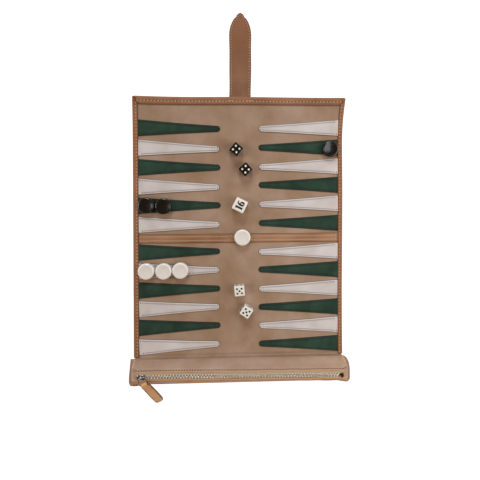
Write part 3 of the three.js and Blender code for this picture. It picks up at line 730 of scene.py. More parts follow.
def build_points():
    rows = {"green": [], "white": []}
    for half in ("upper", "lower"):
        for side, parity in (("left", 0), ("right", 1)):
            for row in range(POINT_ROWS):
                node = f"point_{half}_{side}_{row + 1}"
                low, high = span(node)
                green = (row + parity) % 2 == 0
                centre_y = (low[1] + high[1]) / 2
                sign = 1 if side == "left" else -1
                base_x = low[0] if side == "left" else high[0]
                length = high[0] - low[0] - (0 if green else WHITE_SHORTER[side])
                wobble = 0.35 * math.sin(3.1 * row + parity + (half == "upper"))  # degrees
                lean = turn(wobble + POINT_LEAN[side] * centre_y / mat_top)[:2, :2]
                centre_y += OFF_ROW[f"{half} {side}"][row]

                def place(flat):
                    return flat @ lean.T * sign + [base_x, centre_y]

                right, left = (place(r) for r in point_rails(length))
                piece = plate(node + "_skin", right, left, trim_low - 0.12, trim_top,
                              GREEN if green else WHITE, sewn=POINT_SEWN, soft=0.45, foot=0.45,
                              groove=POINT_GROOVE)
                stand_in(piece, "mat", node)
                right, left = (place(r) for r in point_rails(length, POINT_SEWN))
                path = at_height(np.vstack([right, left[::-1]]), trim_top - POINT_GROOVE)
                rows["green" if green else "white"].append(
                    stitches(settle(path), pitch=3.0, length=1.4, width=0.5, rise=0.2, hole=0.74))
    sew("green_point_stitches", rows["green"], [THREAD_GREEN, GREEN_HOLE_SHADE], "mat")
    sew("white_point_stitches", rows["white"], [THREAD_WHITE, PALE_HOLE_SHADE], "mat")


# ------------------------------------------------------------------ the strap
STRAP_LEAN = 0.6  # degrees, towards +X
STRAP_HALF = 13.4
STRAP_ARCH_RADIUS = 34.0
STRAP_NOSE = 4.8  # radius of its blunt tip
STRAP_SEWN = 2.3


def strap_rails():
    """Both edges of the strap from just inside the mat to its tip, before it leans: slightly wider
    towards its end, then a pointed arch with a blunt tip."""
    low, high = span("strap_front")
    root = pivot("strap_fold")
    blunt = 0.9  # what the nose takes off the arch
    arch = math.sqrt(STRAP_ARCH_RADIUS ** 2 - (STRAP_ARCH_RADIUS - STRAP_HALF) ** 2)
    length = high[1] - low[1] + 0.2
    spring = length - arch
    straight = np.linspace(-9, spring, 34)
    before_tip = (arch - blunt) * np.linspace(1, 0, 24)[1:] ** 1.6
    half = [STRAP_HALF - 0.4 * (1 - max(s, 0) / spring) - 0.12 * math.sin(s / 7.0) for s in straight]
    for t in before_tip:
        side = STRAP_HALF - STRAP_ARCH_RADIUS + math.sqrt(STRAP_ARCH_RADIUS ** 2 - (arch - t - blunt) ** 2)
        nose = 2 * STRAP_NOSE * t - min(t, STRAP_NOSE) ** 2 + STRAP_NOSE * max(t - STRAP_NOSE, 0)
        half.append(max(min(side, math.sqrt(nose)), 0.2))
    along = root[1] + np.concatenate([straight, length - blunt - before_tip])
    return np.column_stack([root[0] + half, along]), np.column_stack([root[0] - half, along])


def strap_sheen_falloff(flat):
    """Painted light: the strap's colour deepens towards its tip, for the grey sheen that its flat base
    catches and its lifted tip does not.
    """
    low, high = span("strap_front")
    return 0.85 * np.clip((flat[:, 1] - low[1]) / (high[1] - low[1]), 0, 1) ** 1.5


def strap_lay(points):
    """The strap leans a little, and comes out between the mat's layers down onto the table."""
    p = np.array(points, float)
    low, high = span("strap_front")
    root = pivot("strap_fold")
    past = p[:, 1] - low[1]
    p[:, :2] = (p[:, :2] - root[:2]) @ turn(-STRAP_LEAN)[:2, :2].T + root[:2]
    p[:, 2] += 0.35 * (1.0 - np.clip((past + 2) / 16, 0, 1)) ** 2
    p[:, 2] += 0.9 * np.clip((past - 60) / (high[1] - low[1] - 60), 0, 1) ** 2
    p[:, 0] += 0.2 * np.sin(past / 19.0) * np.clip(past / 10, 0, 1)
    return p


def build_strap():
    right, left = strap_rails()
    root = joint("strap_fold")["pos_m"][1]
    for name, node in (("strap_back_ply", "strap_back"), ("strap_front_ply", "strap_front")):
        ply_low, ply_high = span(node)
        ply = plate(name, right, left, ply_low[2] - 0.02, ply_high[2], STRAP, soft=0.45, sewn=STRAP_SEWN,
                    lay=strap_lay, band=strap_sheen_falloff)
        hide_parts(node)
        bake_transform(ply)
    loop = inset_loop(np.vstack([right, left[::-1]]), STRAP_SEWN)
    path = loop[loop[:, 1] > root / MM + 0.8]
    path = strap_lay(at_height(path, span("strap_front")[1][2] - GROOVE))
    row = stitches(path, pitch=3.3, length=1.5, width=0.8, hole=0.25)
    made = sew("strap_stitches", [row], [THREAD_TAN, HOLE_SHADE])
    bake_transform(made)


# ------------------------------------------------------------------ the pouch
pouch_low, pouch_high = span("pouch_face", "pouch_base")
pouch_mid_x = (pouch_low[0] + pouch_high[0]) / 2
pouch_half = (pouch_high[0] - pouch_low[0]) / 2
pouch_inner = pouch_high[1]
POUCH_DEPTH = 29.5
pouch_end_depth = pouch_inner - pouch_low[1]
slider_rest = pivot("ring_swing")
slide = direction("slider_run")
across_zip = np.cross(UP, slide)
zip_slope = slide[1] / slide[0]
SEAM_WIDTH = 3.5  # the flat sewn ends
END_TAPER = 14.0
CORNER = 6.0
SHOULDER = (8.2, 17.5)  # the right end's sweep towards the mat: along and out
LEFT_FLARE = 2.2
LEATHER = 1.3  # thickness

# The face's section from the seam beside the mat, over the ridge, to the sewn front edge: how far
# out from the mat and how high, with the window between WINDOW_BACK and WINDOW_FRONT.
FACE_SECTION = [(0.0, 8.6), (0.9, 11.5), (2.2, 15.6), (3.7, 19.4), (5.6, 22.5), (8.4, 24.0),
                (16.6, 23.8), (18.4, 23.2), (20.9, 21.0), (23.3, 18.0), (25.0, 14.8), (25.7, 11.8),
                (26.5, 10.0), (29.3, 9.4)]
GROOVE_OUT = (25.3, 27.0)  # painted shadow: the dark line between the ridge and the sewn front edge
WINDOW_BACK, WINDOW_FRONT = 5, 6
BASE_SECTION = [(29.5, 8.3), (28.6, 7.6), (28.2, 5.0), (27.0, 1.8), (24.0, 0.15), (14.0, 0.0), (2.5, 0.0),
                (0.5, 1.2), (0.0, 4.0), (0.0, 8.3)]


def on_zip(points):
    """Points given along the zip (x) and across it (y) from the slider's rest, in the row frame."""
    p = np.array(points, float)
    flat = slider_rest[:2] + p[:, :1] * slide[:2] + p[:, 1:2] * across_zip[:2]
    return np.column_stack([flat, p[:, 2]])


def on_section(section, s):
    """Smooth position on a section, s counting its points."""
    points = np.array(section, float)
    s = np.clip(s, 0, len(points) - 1)
    i = np.minimum(s.astype(int), len(points) - 2)
    t = (s - i)[:, None]
    p0, p1 = points[np.maximum(i - 1, 0)], points[i]
    p2, p3 = points[i + 1], points[np.minimum(i + 2, len(points) - 1)]
    return 0.5 * (2 * p1 + (p2 - p0) * t + (2 * p0 - 5 * p1 + 4 * p2 - p3) * t ** 2
                  + (3 * p1 - p0 - 3 * p2 + p3) * t ** 3)


def fullness(x):
    """1 along the pouch and 0 in its flat sewn ends, where x is from the pouch's middle."""
    along = np.clip((pouch_half - np.abs(x) - SEAM_WIDTH) / END_TAPER, 0, 1)
    return np.sqrt(1 - (1 - along) ** 3)


def end_room(x, depth):
    """How far the outline of the pouch's ends has drawn in, from how far out from the mat a point is."""
    past = np.clip(depth - (pouch_end_depth - CORNER), 0, CORNER)
    front = CORNER - np.sqrt(CORNER ** 2 - past ** 2)
    width, sweep = SHOULDER
    short = np.clip(1 - depth / sweep, 0, 1)
    right = width * (1 - np.sqrt(1 - short ** 2))
    left = LEFT_FLARE * np.clip(1 - depth / (pouch_end_depth - CORNER - 4), 0, 1)
    return front + np.where(x > 0, right, left)


def pouch_surface(section, x, s):
    """Points on the pouch's skin from places along it (x, from its middle) and round it (s)."""
    flat_z = section[0][1]
    out, high = on_section(section, s).T
    full = fullness(x)
    from_end = pouch_half - np.abs(x)
    spread = ease(np.clip((from_end - 2) / 20, 0, 1))
    depth = out / POUCH_DEPTH * (pouch_end_depth + (POUCH_DEPTH - pouch_end_depth) * spread)
    z = flat_z + (high - flat_z) * (0.05 + 0.95 * full)
    slack = np.array([noise.noise(Vector((a / 17, b / 9 + 5, 0.3))) for a, b in zip(x, z)])
    end = np.array([noise.noise(Vector((a / 5, b / 4, 9.3))) for a, b in zip(depth, x)])
    pucker = 0.5 * np.clip(1 - (from_end - SEAM_WIDTH) / 22, 0, 1) * (full > 0.05) * end
    away = np.clip((z - flat_z) / 6, 0, 1)
    drift = (pouch_mid_x + x - slider_rest[0]) * -zip_slope * ease(np.clip((z - 10) / 10, 0, 1))
    over_mat = np.where(x > 0, 0.4, 1.2) * (1 - full)
    depth = depth + drift + away * (0.4 * slack + pucker) - over_mat
    z = z + away * (0.3 * slack + 1.2 * pucker) - 0.3 * away * (1 + np.sin(x / 31.0)) / 2
    x = x - np.sign(x) * end_room(x, depth) * np.clip(1 - from_end / END_TAPER, 0, 1)
    return np.column_stack([pouch_mid_x + x, pouch_inner - depth, z])


def rounded_loop(x0, x1, s0, s1, rx, rs, long_steps, short_steps):
    """A rounded rectangle with rx and rs as its corners' half-axes, counter-clockwise from its low
    right corner, with the same number of points whatever its size."""
    corners = ((x1 - rx, s0 + rs), (x1 - rx, s1 - rs), (x0 + rx, s1 - rs), (x0 + rx, s0 + rs))
    arcs = []
    for k, corner in enumerate(corners):
        turns = np.radians(90 * (k - 1) + np.linspace(0, 90, 7))
        arcs.append(corner + np.column_stack([rx * np.cos(turns), rs * np.sin(turns)]))
    parts = []
    for k, bend in enumerate(arcs):
        steps = long_steps if k % 2 else short_steps
        parts += [bend, line(bend[-1], arcs[(k + 1) % 4][0], steps)[1:-1]]
    return np.vstack(parts)


def outward_normals(verts, faces):
    """One unit normal for each point of a mesh."""
    normals = np.zeros_like(verts)
    for f in faces:
        a, b, c = verts[f[0]], verts[f[1]], verts[f[2]]
        n = np.cross(b - a, c - a)
        for i in f:
            normals[i] += n
    return normals / np.maximum(np.linalg.norm(normals, axis=1, keepdims=True), 1e-9)


def thicken(name, verts, faces, border_loops, materials, wear_and_light=0.0, shade=0.0):
    """The pouch's skin made into leather, growing inwards, with its cut edges in slot 1. border_loops
    are the loops of points along its edges, each with the leather on its left. The inside is bare,
    but not near the sewn ends, and the ends' cut edges are dyed like the outside, so in slot 0."""
    n = len(verts)
    inner = verts - outward_normals(verts, faces) * LEATHER
    all_faces = [list(f) for f in faces] + [[n + i for i in reversed(f)] for f in faces]
    slots = [0] * len(all_faces)
    for loop in border_loops:
        for a, b in zip(loop, loop[1:] + loop[:1]):
            all_faces.append([b, a, n + a, n + b])
            slots.append(1)
    plain = np.zeros(n)
    bare = np.clip((pouch_half - END_TAPER - np.abs(verts[:, 0] - pouch_mid_x)) / 8, 0, 1)
    made = make_object(name, np.vstack([verts, inner]), all_faces, materials, slots=slots,
                       wear_and_light=np.append(plain + wear_and_light, bare), shade=np.append(plain + shade, plain))
    for polygon in made.data.polygons:
        if polygon.material_index == 1 and abs(polygon.center.x / MM - pouch_mid_x) > pouch_half - 9:
            polygon.material_index = 0
    face_outwards(made)
    bevel = made.modifiers.new("soft_edges", "BEVEL")
    bevel.width = 0.25 * MM
    bevel.segments = 2
    bevel.limit_method = "ANGLE"
    bevel.angle_limit = math.radians(50)
    return made


tape_low, tape_high = span("zip_tape_upper")
window_x0 = tape_low[0] - 0.3 - pouch_mid_x
window_x1 = tape_high[0] + 0.3 - pouch_mid_x


def face_point(x, s):
    """Points on the pouch's face."""
    return pouch_surface(FACE_SECTION, np.asarray(x, float), np.asarray(s, float))


def build_pouch_face():
    steps = (150, 14)
    inner = rounded_loop(window_x0, window_x1, WINDOW_BACK, WINDOW_FRONT, 2.4, 0.3, *steps)
    outer = rounded_loop(-pouch_half, pouch_half, 0, len(FACE_SECTION) - 1, 1.0, 0.1, *steps)
    levels = 1 - (1 - np.linspace(0, 1, 22)) ** 1.15
    flat = np.vstack([inner + (outer - inner) * t for t in levels])
    xs, ss = flat.T
    verts = face_point(xs, ss)
    count = len(inner)
    faces = ring_faces(len(levels), count)
    first = verts[faces[0][:3]]
    from_centre = first[0] - [pouch_mid_x, slider_rest[1], 10.0]
    if np.cross(first[1] - first[0], first[2] - first[0]).dot(from_centre) < 0:
        faces = [f[::-1] for f in faces]
    loops = [list(range(count))[::-1], list(range(len(verts) - count, len(verts)))]
    clear_of_ends = fullness(xs) > 0.6
    bare_lip = np.clip(1.15 - np.abs(ss - WINDOW_FRONT - 0.45), 0, 1) * (ss > WINDOW_FRONT - 0.1)
    front_wall = 0.6 * np.clip((ss - WINDOW_FRONT - 2.2) / 0.6, 0, 1)
    wear_and_light = np.maximum(bare_lip, front_wall) * clear_of_ends
    wear_and_light[:count] = 1.0
    wear_and_light[count:2 * count] = np.maximum(wear_and_light[count:2 * count], 0.3)
    out = pouch_inner - verts[:, 1] + (verts[:, 0] - slider_rest[0]) * zip_slope
    # Painted shadow: the groove under the ridge takes the dark shade colour.
    middle, half = sum(GROOVE_OUT) / 2, (GROOVE_OUT[1] - GROOVE_OUT[0]) / 2
    shade = np.clip(1.3 - np.abs(out - middle) / half, 0, 1) * clear_of_ends * (ss > WINDOW_FRONT + 2.5)
    face = thicken("pouch_face_leather", verts, faces, loops, [TAN, EDGE], wear_and_light, shade)
    stand_in(face, "pouch", "pouch_face")


def build_pouch_base():
    inset = pouch_half - 22
    left_end, middle = np.linspace(-pouch_half, -inset, 26), np.linspace(-inset, inset, 60)[1:-1]
    xs = np.concatenate([left_end, middle, -left_end[::-1]])
    ss = np.linspace(0, len(BASE_SECTION) - 1, 46)
    grid_x, grid_s = np.meshgrid(xs, ss, indexing="ij")
    verts = pouch_surface(BASE_SECTION, grid_x.ravel(), grid_s.ravel())
    n, m = len(xs), len(ss)
    faces = grid_faces(n, m)
    a = (n // 2) * m + m // 2
    if np.cross(verts[a + 1] - verts[a], verts[a + m] - verts[a])[2] > 0:
        faces = [f[::-1] for f in faces]
    base = thicken("pouch_base_leather", verts, faces, [grid_border(n, m)], [TAN, EDGE, SUEDE])
    for polygon in base.data.polygons:
        if polygon.index < len(faces) and polygon.vertices[0] % m > 0.8 * m:
            polygon.material_index = 2  # the suede runs on up the wall beside the mat
    stand_in(base, "pouch", "pouch_base")


def row_on_face(x, s, pitch, **more):
    """Stitches along the pouch's face, from places along it and round it."""
    points = face_point(x, s)
    normal = np.cross(face_point(x + 0.2, s) - face_point(x - 0.2, s),
                      face_point(x, s + 0.05) - face_point(x, s - 0.05))
    normal /= np.maximum(np.linalg.norm(normal, axis=1, keepdims=True), 1e-9)
    away = points - [0, slider_rest[1], 10.0]
    away[:, 0] = 0
    normal *= np.where((normal * away).sum(axis=1, keepdims=True) < 0, -1, 1)
    return stitches(points + normal * 0.02, pitch, normal=normal, **more)


def build_pouch_stitches():
    last = len(FACE_SECTION) - 1
    ends = pouch_half - SEAM_WIDTH
    along = np.linspace(-ends + 3, ends - 3, 300)
    by_zip = row_on_face(along, np.full(300, WINDOW_BACK - 0.5), pitch=3.1, length=1.3, width=0.5,
                         hole=0.75)
    sew("pouch_zip_stitches", [by_zip], [THREAD_BROWN, HOLE_SHADE], "pouch")
    rows = [row_on_face(along, np.full(300, last - 0.7), pitch=2.6, width=0.7)]
    over = np.linspace(0.3, last - 0.4, 80)
    for x in (2.6 - ends, ends - 2.6):
        rows.append(row_on_face(np.full(80, x), over, pitch=2.8, length=1.6, width=1.1, hole=0.35))
    sew("pouch_stitches", rows, [THREAD_TAN, HOLE_SHADE], "pouch")


def build_seam_leather():
    """The narrow hinge of leather between the mat's end and the pouch."""
    half = mat_half - 1.0
    xs = line(-half, half, 60)
    # Its rows from the mat to the pouch, and how far above the suede: the first starts inside it.
    rows = ((1.6, -0.06), (1.0, 0.03), (0.0, 0.03), (-0.35, 0.03), (-0.9, 0.03))
    verts = [[x, mat_end + y, suede_top + above - below]
             for below in (0, 0.9) for y, above in rows for x in xs]
    strip = make_object("pouch_seam_leather", verts, grid_slab(len(rows), len(xs)), [SUEDE])
    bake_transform(strip)


# ------------------------------------------------------------------ the zip
teeth_low, teeth_high = span("zip_teeth_upper", "zip_teeth_lower")
chain_middle = (teeth_low[2] + teeth_high[2]) / 2
TOOTH_PITCH = 3.4
TAPE_INNER = 1.3
TAPE_OUTER = {"zip_tape_upper": 4.9, "zip_tape_lower": -2.9}
# A tooth's clamp over the tape, its neck and its head past the middle: from and to across the zip,
# half its width and half its height.
TOOTH_BLOCKS = ((0.7, 2.3, 0.7, 0.85), (-0.35, 0.85, 0.6, 0.7), (-0.75, -0.1, 0.36, 0.5))


def build_tapes():
    for node, outer in TAPE_OUTER.items():
        low, high = span(node)
        start, end = low[0] - slider_rest[0], high[0] - slider_rest[0]
        sides = sorted((math.copysign(TAPE_INNER, outer), outer))
        rails = [line((start, y), (end, y), 90) for y in sides]
        tape = plate(node + "_weave", *rails, low[2], high[2], TAPE, soft=0.25, lay=tape_lay)
        stand_in(tape, "pouch", node)


def tape_lay(points):
    """The tapes ripple a little between the teeth."""
    p = np.array(points, float)
    p[:, 2] += 0.1 * np.sin(p[:, 0] / 8.0 + np.sign(p[:, 1]))
    return on_zip(p)


def tooth(x, side):
    """One metal tooth with rounded blocks, on the upper tape if side is 1 and the lower if it is -1."""
    parts = []
    for y0, y1, half_x, half_z in TOOTH_BLOCKS:
        rings = [[x + half_x * swell * math.cos(t), side * y, chain_middle + half_z * swell * math.sin(t)]
                 for y, swell in ((y0, 0.83), (y0 + 0.2, 1.15), (y1 - 0.2, 1.15), (y1, 0.83))
                 for t in full_turn(8, 0.5)]
        faces = ring_faces(4, 8, cap=True)
        parts.append((on_zip(rings), faces if side < 0 else [f[::-1] for f in faces]))
    return joined(parts)


def build_teeth():
    end = teeth_high[0] - slider_rest[0]
    for node, side in (("zip_teeth_upper", 1), ("zip_teeth_lower", -1)):
        start = teeth_low[0] - slider_rest[0] + (0.9 if side > 0 else 0.9 + TOOTH_PITCH / 2)
        count = int((end - start) / TOOTH_PITCH) + 1
        verts, faces, _ = joined([tooth(start + k * TOOTH_PITCH, side) for k in range(count)])
        stand_in(make_object(node + "_chain", verts, faces, [TOOTH]), "pouch", node)


def squarish(count, power_x, power_y):
    """Points round a circle of radius 1 that powers under 1 push out towards a square."""
    x, y = np.cos(full_turn(count)), np.sin(full_turn(count))
    return np.column_stack([np.sign(x) * np.abs(x) ** power_x, np.sign(y) * np.abs(y) ** power_y])


def domed(outline, levels):
    """A solid from one outline at several (scale, height) levels."""
    rings = [at_height(outline * scale, z) for scale, z in levels]
    return np.vstack(rings), ring_faces(len(levels), len(outline), cap=True)


def build_end_stop():
    low, high = span("zip_end_stop")
    centre, size = (low + high) / 2, (high - low) / 2
    levels = [(swell, centre[2] + size[2] * z)
              for swell, z in ((0.8, -1), (1.0, -0.7), (1.0, 0.7), (0.8, 1))]
    verts, faces = domed(squarish(16, 0.5, 0.5) * size[:2], levels)
    verts[:, :2] += centre[:2]
    stand_in(make_object("zip_end_stop_clamp", verts, faces, [DARK_METAL]), "pouch", "zip_end_stop")


def build_slider():
    """Two plates joined by a neck, with the arch that the pull ring hangs in."""
    low, high = span("zip_slider")
    half_x, half_y = (high[0] - low[0]) / 2, (high[1] - low[1]) / 2
    outline = squarish(40, 0.7, 0.62) * [half_x, half_y]
    outline[:, 1] *= 1.0 - 0.1 * (outline[:, 0] / half_x + 1)  # broad at its mouth, narrower at its nose
    bottom, top0, top1 = low[2], chain_middle + 1.2, chain_middle + 2.3
    verts, faces = domed(outline, [(0.86, top0 - 0.75), (0.99, top0 - 0.8), (1.0, top0), (0.97, top0 + 0.6),
                                   (0.88, top1 - 0.15), (0.7, top1 + 0.05), (0.35, top1 + 0.12)])
    hollow = (np.abs(verts[:, 1]) < half_y * 0.8) & (verts[:, 2] < top0 - 0.3)
    verts[hollow, 2] = top0
    parts = [(verts, faces)]
    parts.append(domed(outline * 0.8, [(0.9, bottom), (1.0, bottom + 0.25), (1.0, bottom + 0.5),
                                       (0.92, bottom + 0.7)]))
    neck = np.array([[-5, -0.33], [0, -0.33], [0, 0.33], [-5, 0.33]])
    parts.append(domed(neck, [(1.0, bottom + 0.3), (1.0, top0 + 0.3)]))
    arch = []
    for t in np.linspace(0, math.pi, 25):
        middle = np.array([0, 2.15 * math.cos(t), top1 - 0.2 + 2.9 * math.sin(t) ** 0.75])
        out = np.array([0, math.cos(t), math.sin(t)])
        arch += [middle + np.array([1.05, 0, 0]) * math.cos(a) + out * 0.48 * math.sin(a)
                 for a in full_turn(10)]
    parts.append((arch, ring_faces(25, 10, cap=True)))
    verts, faces, _ = joined(parts)
    stand_in(make_object("zip_slider_body", on_zip(verts), faces, [NICKEL]), "zip_slider", "zip_slider")


def wire_loop(path, across, radius):
    """A round wire along a closed plane path; across is the plane's normal."""
    sides = 12
    points = np.array(path, float)
    ahead = np.roll(points, -1, axis=0) - np.roll(points, 1, axis=0)
    ahead /= np.linalg.norm(ahead, axis=1, keepdims=True)
    verts = [p + radius * (np.cross(a, across) * math.cos(t) + across * math.sin(t))
             for p, a in zip(points, ahead) for t in full_turn(sides)]
    return verts, ring_faces(len(points), sides, closed=True)


RING_HALF = 4.9
RING_WIRE = 0.76
swing_axis = direction("ring_swing")
tab_pivot = pivot("tab_swing")


def build_ring():
    """A D-shaped ring: narrow in the slider's arch, with rounded shoulders and a straight far side."""
    lean = tab_pivot - slider_rest
    reach = np.linalg.norm(lean)
    lean /= reach
    corner, shoulder, in_arch = 2.0, 3.9, 1.4
    plane = [(0.0, (in_arch - 0.1) * t) for t in np.linspace(-1, 1, 5)]
    quarter = np.radians(np.linspace(0, 90, 9))
    plane += [(shoulder * (1 - math.cos(t)), in_arch + (RING_HALF - in_arch) * math.sin(t))
              for t in quarter[1:]]
    plane += [(reach + corner * (math.sin(t) - 1), RING_HALF + corner * (math.cos(t) - 1))
              for t in quarter]
    plane += [(a, -b) for a, b in plane[5:]][::-1]
    path = [slider_rest + lean * a + swing_axis * b for a, b in plane]
    verts, faces = wire_loop(path, np.cross(lean, swing_axis), RING_WIRE)
    made = make_object("pull_ring_wire", verts, faces, [NICKEL])
    face_outwards(made)
    stand_in(made, "pull_ring", "pull_ring")


TAB_DROOP = 31.0  # degrees below level
TAB_LENGTH = 37.3
TAB_PLY = 1.15
TAB_HALF = 4.9
TAB_NECK_HALF = 3.95  # where it folds round the ring
TAB_BEND = 1.72  # radius of that fold, at the middle of the leather
TAB_SEWN = 1.3
# Half of the strip's section, from one edge to the other: across it in half widths, and through it
# in half thicknesses. The other half is its mirror.
TAB_SECTION = [(-1.0, -0.5), (-0.96, -0.9), (-0.8, -1.0), (0, -1.04), (0.8, -1.0), (0.96, -0.9),
               (1.0, -0.5)]


def tab_half(s):
    """Half the tab's width at a distance from the ring."""
    neck = TAB_NECK_HALF + (TAB_HALF - TAB_NECK_HALF) * np.clip((s - 0.8) / 2.5, 0, 1) ** 0.6
    end = max(s - (TAB_LENGTH - 3.0), 0) / 3.0
    belly = 0.3 * math.sin(math.pi * np.clip((s - 8) / (TAB_LENGTH - 8), 0, 1))
    return (neck + belly) * (1 - 0.4 * end ** 2.8)


def build_tab():
    """A strip of leather folded round the ring, with its two plies sewn together."""
    heading = np.cross(UP, swing_axis)
    droop = math.radians(TAB_DROOP)
    along = heading * math.cos(droop) - UP * math.sin(droop)
    up = np.cross(along, swing_axis)
    up *= np.sign(up[2])

    def place(s, high, across):
        curl = 0.9 * (np.clip(s, 0, TAB_LENGTH) / TAB_LENGTH) ** 2
        return tab_pivot + along * s + up * (high + curl) + swing_axis * across

    upper = []
    for s in np.concatenate([line(1.2, 5.5, 5)[:-1], line(5.5, TAB_LENGTH, 25)]):
        opened = ease(max(5.5 - s, 0) / 4.3)
        upper.append((s, TAB_PLY / 2 + 0.02 + 0.8 * (TAB_BEND - TAB_PLY / 2) * opened, s))
    fold = [(TAB_BEND * math.cos(a), TAB_BEND * math.sin(a), 0.0) for a in np.radians(line(-60, -300, 14))]
    route = np.array([(a, -b, s) for a, b, s in upper[::-1]] + fold + upper)
    tangents = np.gradient(route[:, :2], axis=0)
    tangents /= np.linalg.norm(tangents, axis=1, keepdims=True)
    section = TAB_SECTION + [(-a, -b) for a, b in TAB_SECTION]
    verts, wear_and_light = [], []
    for (a, b, s), tangent in zip(route, tangents):
        for across, through in section:
            out = through * TAB_PLY / 2
            verts.append(place(a - tangent[1] * out, b + tangent[0] * out, across * tab_half(s)))
            wear_and_light.append(1.0 if abs(across) > 0.9 else 0.0)
    faces = ring_faces(len(route), len(section), cap=True)
    made = make_object("pull_tab_leather", verts, faces, [TAB], wear_and_light=wear_and_light)
    face_outwards(made)
    stand_in(made, "pull_tab", "pull_tab")
    side = [(s, tab_half(s) - TAB_SEWN) for s in np.linspace(5.0, TAB_LENGTH - 2.4, 30)]
    end = [(TAB_LENGTH - 1.9, side[-1][1] * t) for t in np.linspace(-1, 1, 8)[1:-1]]
    path = [(s, -across) for s, across in side] + end + side[::-1]
    row = stitches([place(s, TAB_PLY + 0.02, across) for s, across in path], pitch=2.3, width=0.45,
                   normal=up, rise=0.2)
    sew("pull_tab_stitches", [row], [THREAD_TAN, HOLE_SHADE], "pull_tab")


# ------------------------------------------------------------------ checkers
def checker_profile(radius, height):
    edge = [(0, 0.0), (radius - 1.9, 0.0), (radius - 1.7, 0.03), (radius - 0.9, 0.3), (radius - 0.35, 0.85),
            (radius - 0.06, 1.6), (radius, 2.3)]
    upper = [(r, height - z) for r, z in edge[::-1]]
    upper[-2:] = [(radius - 1.95, height - 0.02), (radius - 2.25, height - 0.14), (0, height - 0.14)]
    return edge + upper


def set_down(piece, node, height, angle=0.0):
    """Puts a piece built round the origin over the middle of its CAD node, riding on its body."""
    low, high = span(node)
    piece.location = Vector((*((low + high) / 2)[:2], height)) * MM
    piece.rotation_euler.z = math.radians(angle)
    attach(piece, node)


def build_checkers():
    names = [f"checker_white_{k}" for k in (1, 2, 3, 4)] + [f"checker_black_{k}" for k in (1, 2, 3)]
    for node in names:
        low, high = span(node)
        radius = (high[0] - low[0]) / 2
        height = high[2] - low[2]
        verts, faces = lathe(checker_profile(radius, height), 72)
        # Painted highlight round the top rim.
        rim_highlight = np.clip((np.hypot(verts[:, 0], verts[:, 1]) - radius + 2.1) / 0.6, 0, 1)
        piece = make_object(node + "_piece", verts, faces, [BLACK if "black" in node else IVORY],
                            wear_and_light=rim_highlight * (verts[:, 2] > height / 2))
        set_down(piece, node, low[2])
        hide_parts(node)


def build_stored_checkers():
    for colour, count, material in (("black", 12, BLACK), ("white", 11, IVORY)):
        node = f"stored_{colour}_checkers"
        low, high = span(node)
        radius = (high[1] - low[1]) / 2
        height = (high[0] - low[0]) / count
        verts, faces = lathe(checker_profile(radius, height - 0.05), 36)
        on_edge = verts[:, [2, 1, 0]] * [1, 1, -1] + [low[0], (low[1] + high[1]) / 2, low[2] + radius]
        verts, faces, _ = joined([(on_edge + [k * height, 0, 0], faces) for k in range(count)])
        stand_in(make_object(node + "_row", verts, faces, [material]), "pouch", node)


# ------------------------------------------------------------------ dice
def rounded_box(size, edge, steps=6):
    """Points and faces of a cube with rounded edges."""
    grid = bmesh.new()
    bmesh.ops.create_cube(grid, size=size)
    bmesh.ops.bevel(grid, geom=grid.edges[:] + grid.verts[:], offset=edge, segments=steps, profile=0.5,
                    affect="EDGES")
    verts = np.array([v.co for v in grid.verts])
    faces = [[v.index for v in f.verts] for f in grid.faces]
    grid.free()
    return verts, faces


PIP_PAIR = [(-1, -1), (1, 1)]
PIP_FOUR = PIP_PAIR + [(-1, 1), (1, -1)]
PIPS = {1: [(0, 0)], 2: PIP_PAIR, 3: PIP_PAIR + [(0, 0)], 4: PIP_FOUR, 5: PIP_FOUR + [(0, 0)],
        6: PIP_FOUR + [(0, -1), (0, 1)]}
PIP_STEP = 2.7
PIP_BALL = 1.75  # radius of the cutter
PIP_DEPTH = 0.55


def pip_cutters(up, front, right, size):
    """Balls that cut the pips, with the named numbers on the top, -Y and +X faces."""
    turns = {up: (0, "X"), 7 - up: (180, "X"), front: (90, "X"), 7 - front: (-90, "X"), right: (90, "Y"),
             7 - right: (-90, "Y")}
    curve = [(PIP_BALL * math.sin(a), -PIP_BALL * math.cos(a)) for a in np.radians(range(12, 180, 12))]
    ball, faces = lathe([(0, -PIP_BALL), *curve, (0, PIP_BALL)], 20)
    high = size / 2 + PIP_BALL - PIP_DEPTH
    return joined([((ball + [x * PIP_STEP, y * PIP_STEP, high]) @ turn(angle, axis).T, faces)
                   for number, (angle, axis) in turns.items() for x, y in PIPS[number]])


def carved(name, verts, faces, cutter, materials):
    """A solid with a cutter taken out of it; the cut faces get the second material."""
    solid = make_object(name, verts, faces, materials)
    tool = make_object(name + "_cutter", *cutter[:2], [materials[1]])
    boolean = solid.modifiers.new("carve", "BOOLEAN")
    boolean.object = tool
    boolean.operation = "DIFFERENCE"
    boolean.solver = "EXACT"
    boolean.material_mode = "TRANSFER"
    bpy.context.view_layer.update()
    graph = bpy.context.evaluated_depsgraph_get()
    mesh = bpy.data.meshes.new_from_object(solid.evaluated_get(graph))
    solid.modifiers.clear()
    solid.data = mesh
    bpy.data.objects.remove(tool)
    mesh.set_sharp_from_angle(angle=math.radians(35))
    return solid


# The numbers on each die's top, -Y and +X faces, and how far it is turned, in degrees.
DICE = {"die_black_1": (4, 1, 5, -39.5), "die_black_2": (4, 2, 6, -48.3), "die_white_1": (5, 3, 1, 5.0),
        "die_white_2": (5, 4, 1, -34.0)}


def build_dice():
    for node, (up, front, right, angle) in DICE.items():
        low, high = span(node)
        size = high[2] - low[2]
        looks = [BLACK, IVORY_DIE] if "black" in node else [IVORY_DIE, BLACK]
        piece = carved(node + "_piece", *rounded_box(size, 0.9), pip_cutters(up, front, right, size), looks)
        set_down(piece, node, low[2] + size / 2, angle)
        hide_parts(node)


